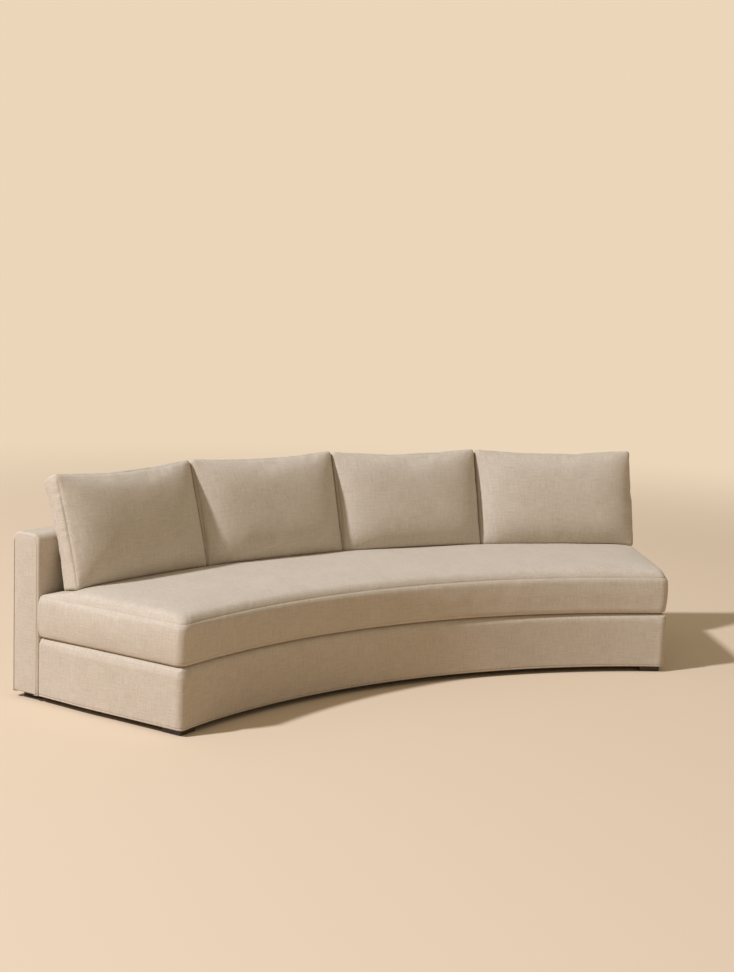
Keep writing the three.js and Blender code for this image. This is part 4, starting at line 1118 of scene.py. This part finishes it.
def foam_edge():
    """Firm foam strip that rounds the front and end rails under the base cover."""
    low, high, near, far, round_ = RAIL_TOP, 0.2627, COVER_WALL + FIT, FLANGE, 0.006
    turns = np.linspace(0, math.pi / 2, 5)
    section = [(near, low), (far, low)]
    section += [(far - round_ * (1 - math.cos(t)), high - round_ * (1 - math.sin(t))) for t in turns]
    section += [(0.079, high), (0.035, high - BASE_RIM_DROP)]
    high -= BASE_RIM_DROP
    section += [(near + round_ * (1 - math.sin(t)), high - round_ * (1 - math.cos(t))) for t in turns]
    rings = np.stack([lift_plan(skirt_path(inset, 0.02)[0], z) for inset, z in section], 1)
    piece = sweep("foam_edge", rings, FOAM, "frame", "foam")
    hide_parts("edge_foam")


def webbing():
    """Elastic straps, woven, tacked to the rails and stitched at their crossings."""
    count, width, thickness, weave, middle, tail = 14, 0.066, 0.002, 0.0008, 0.2367, 0.006
    front_face, front_inside, rear_inside, rear_face, end_inside = 2.6409, 2.6689, 3.3211, 3.3491, 0.0389
    reach = HALF - math.asin((end_inside + width) / FRONT)
    turns = reach * (2 * np.arange(count) / (count - 1) - 1)
    radii = front_inside + np.array([0.3, 0.7]) * (rear_inside - front_inside)
    points, faces = [], []

    shares = np.array([-1, -0.96, -0.5, 0, 0.5, 0.96, 1]) * width / 2
    lifts = np.array([0.4, 1, 1, 1, 1, 1, 0.4]) * thickness / 2
    shares, lifts = np.concatenate([shares, shares[::-1]]), np.concatenate([lifts, -lifts])

    def add(centres, across):
        """A strap along its centre line, with rounded edges."""
        sections = centres[:, None] + across[:, None] * shares[:, None] + columns(0.0, 0.0, lifts)
        start = sum(map(len, points))
        points.append(sections.reshape(-1, 3))
        faces.extend([start + i for i in face] for face in swept_faces(*sections.shape[:2]))

    def waved(run, low_run, crossings, sides, flat):
        """Height along a strap: low on the rails, and over or under each strap it crosses."""
        stops = [run[0], low_run[0]]
        heights = [middle - weave] * 2
        for at, side in zip(crossings, sides):
            stops += [at - flat, at + flat]
            heights += [middle + side * weave] * 2
        return np.interp(run, stops + [low_run[1], run[-1]], heights + [middle - weave] * 2)

    for number, turn in enumerate(turns):
        run = np.linspace(front_face + tail, rear_face - tail, 61)
        sides = [1 if (k + number) % 2 == 0 else -1 for k in range(2)]
        z = waved(run, (front_inside, rear_inside), radii, sides, width / 2 + 0.004)
        across = np.tile(radial(turn + math.pi / 2), (len(run), 1))
        add(lift_plan(plan(run, turn), z), across)
    for k, radius in enumerate(radii):
        end = end_angle(radius, COVER_WALL + FIT + tail)
        low = end_angle(radius, end_inside)
        run = np.linspace(-end, end, 241)
        sides = [-1 if (k + number) % 2 == 0 else 1 for number in range(count)]
        z = waved(run, (-low, low), turns, sides, (width / 2 + 0.004) / radius)
        add(lift_plan(plan(radius, run), z), radial(run))
    piece = make_piece("webbing_straps", np.concatenate(points), STRAP, "frame", "webbing", faces)
    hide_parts("seat_webbing")


def thin_cover(name, inner, outer, inset, sag, legs, node, **cut):
    """A thin cloth under a frame, stapled along its edges, so that it hangs a little between them."""
    shares = np.linspace(0, 1, 17)
    radii = inner + (outer - inner) * shares
    bow = np.sin(math.pi * shares)
    rings = []
    for share in np.linspace(-1, 1, 181):
        from_end = min(1, (1 - abs(share)) / 0.06)
        flat = plan(radii, share * end_angle(radii, inset))
        hang = sag * bow ** 0.7 * from_end
        for leg in legs:
            centre = (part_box(leg)[0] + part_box(leg)[1]) / 2
            away = np.hypot(flat[:, 0] - centre[0], flat[:, 1] + CENTRE_Y - centre[1])
            hang = hang * smoothstep(away, 0.075, 0.2)
        wave = waves(95, *flat.T, (0.0003, 0.12, 0.1)) * from_end * bow
        low = UNDERSIDE + 0.0002 - hang + wave
        rings.append(np.concatenate([lift_plan(flat, low), lift_plan(flat, low + 0.0012)[::-1]]))
    piece = sweep(name, np.array(rings), DUST, "frame", "black_cloth")
    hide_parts(node)


def zip_sections(centres, outward, across, length):
    """Closed sections of a zip: its tape, with the coil's teeth along the middle."""
    run = np.linspace(0, length, len(centres))
    teeth = 0.62 + 0.38 * np.cos(run / 0.0021 * 2 * math.pi)
    lifts = np.array([0, 0.0015, 0.0016, 0.0016, 0.0016, 0.0016, 0.0016, 0.0016, 0.0015, 0])
    shares = np.array([-11, -11, -7, -2.7, -1.4, 1.4, 2.7, 7, 11, 11]) / 1000
    coil = np.array([0, 0, 0, 0.35, 1, 1, 0.35, 0, 0, 0]) * 0.0012
    lifts = lifts + coil * teeth[:, None]
    return (centres[:, None] + outward[:, None] * lifts[..., None] + across[:, None] * shares[None, :, None])


def seat_zip():
    """The seat cushion's zip, along the middle of its rear side."""
    half, radius, z = math.radians(11), 3.3403, 0.35015
    turns = np.linspace(-half, half, 2400)
    across = np.tile([0, 0, 1.0], (len(turns), 1))
    rings = zip_sections(lift_plan(plan(radius, turns), z), radial(turns), across, 2 * half * radius)
    piece = sweep("seat_cushion_zip_tape", rings, TAPE, "seat_cushion", "zip_tape")
    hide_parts("seat_cushion_zip")


def cushion_zip(name, width, degrees):
    """A back cushion's zip, along the middle of its bottom side."""
    matrix = cushion_frame(math.radians(degrees))
    length = width * 0.72
    run = np.linspace(-length / 2, length / 2, 960)
    centres = columns(run, -CUSHION_HEIGHT / 2 + 0.0079, CUSHION_BOXING / 2)
    outward, across = (np.tile(matrix.to_3x3() @ Vector(axis), (len(run), 1))
                       for axis in ((0, -1, 0), (0, 0, 1)))
    rings = zip_sections(placed(centres, matrix), outward, across, length)
    piece = sweep(name + "_zip_tape", rings, TAPE, name, "zip_tape")
    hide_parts(name + "_zip")


deck()
foam_edge()
webbing()
LIP = TURN_IN + CONTACT
thin_cover("seat_dust_cover", FRONT + LIP, BACK_FACE - FIT, LIP, 0.003,
           ("front_left_leg", "front_middle_leg", "front_right_leg"), "dust_cover",
           flat=(2.95, 0.97), area=1.88, rests_on=["base_upholstery", "rear_rail"])
thin_cover("rear_dust_cover", BACK_FACE + LIP, OUTER - LIP, 0.0129, 0.001,
           ("rear_left_leg", "rear_middle_leg", "rear_right_leg"), "back_dust_cover",
           flat=(0.18, 3.08), area=0.29, rests_on=["back_upholstery"])
seat_zip()
for name, width, degrees in CUSHIONS:
    cushion_zip(name, width, degrees)

LOOKS = {"back_board": PLY, "outer_back_panel": CARD}
for node in frame["nodes"].values():
    if node.hide_render:
        continue
    look = LOOKS.get(node.name, PINE)
    bevel = 0.0
    if node.name.endswith("_leg"):
        look, bevel = LEG_WOOD, 0.0015
    elif "bolt" in node.name or "slider" in node.name:
        look, bevel = STEEL, 0.0003
    node.data.materials.clear()
    node.data.materials.append(look)
    if bevel:
        edge = node.modifiers.new("edges", "BEVEL")
        edge.width, edge.segments, edge.limit_method, edge.angle_limit = bevel, 2, "ANGLE", math.radians(35)
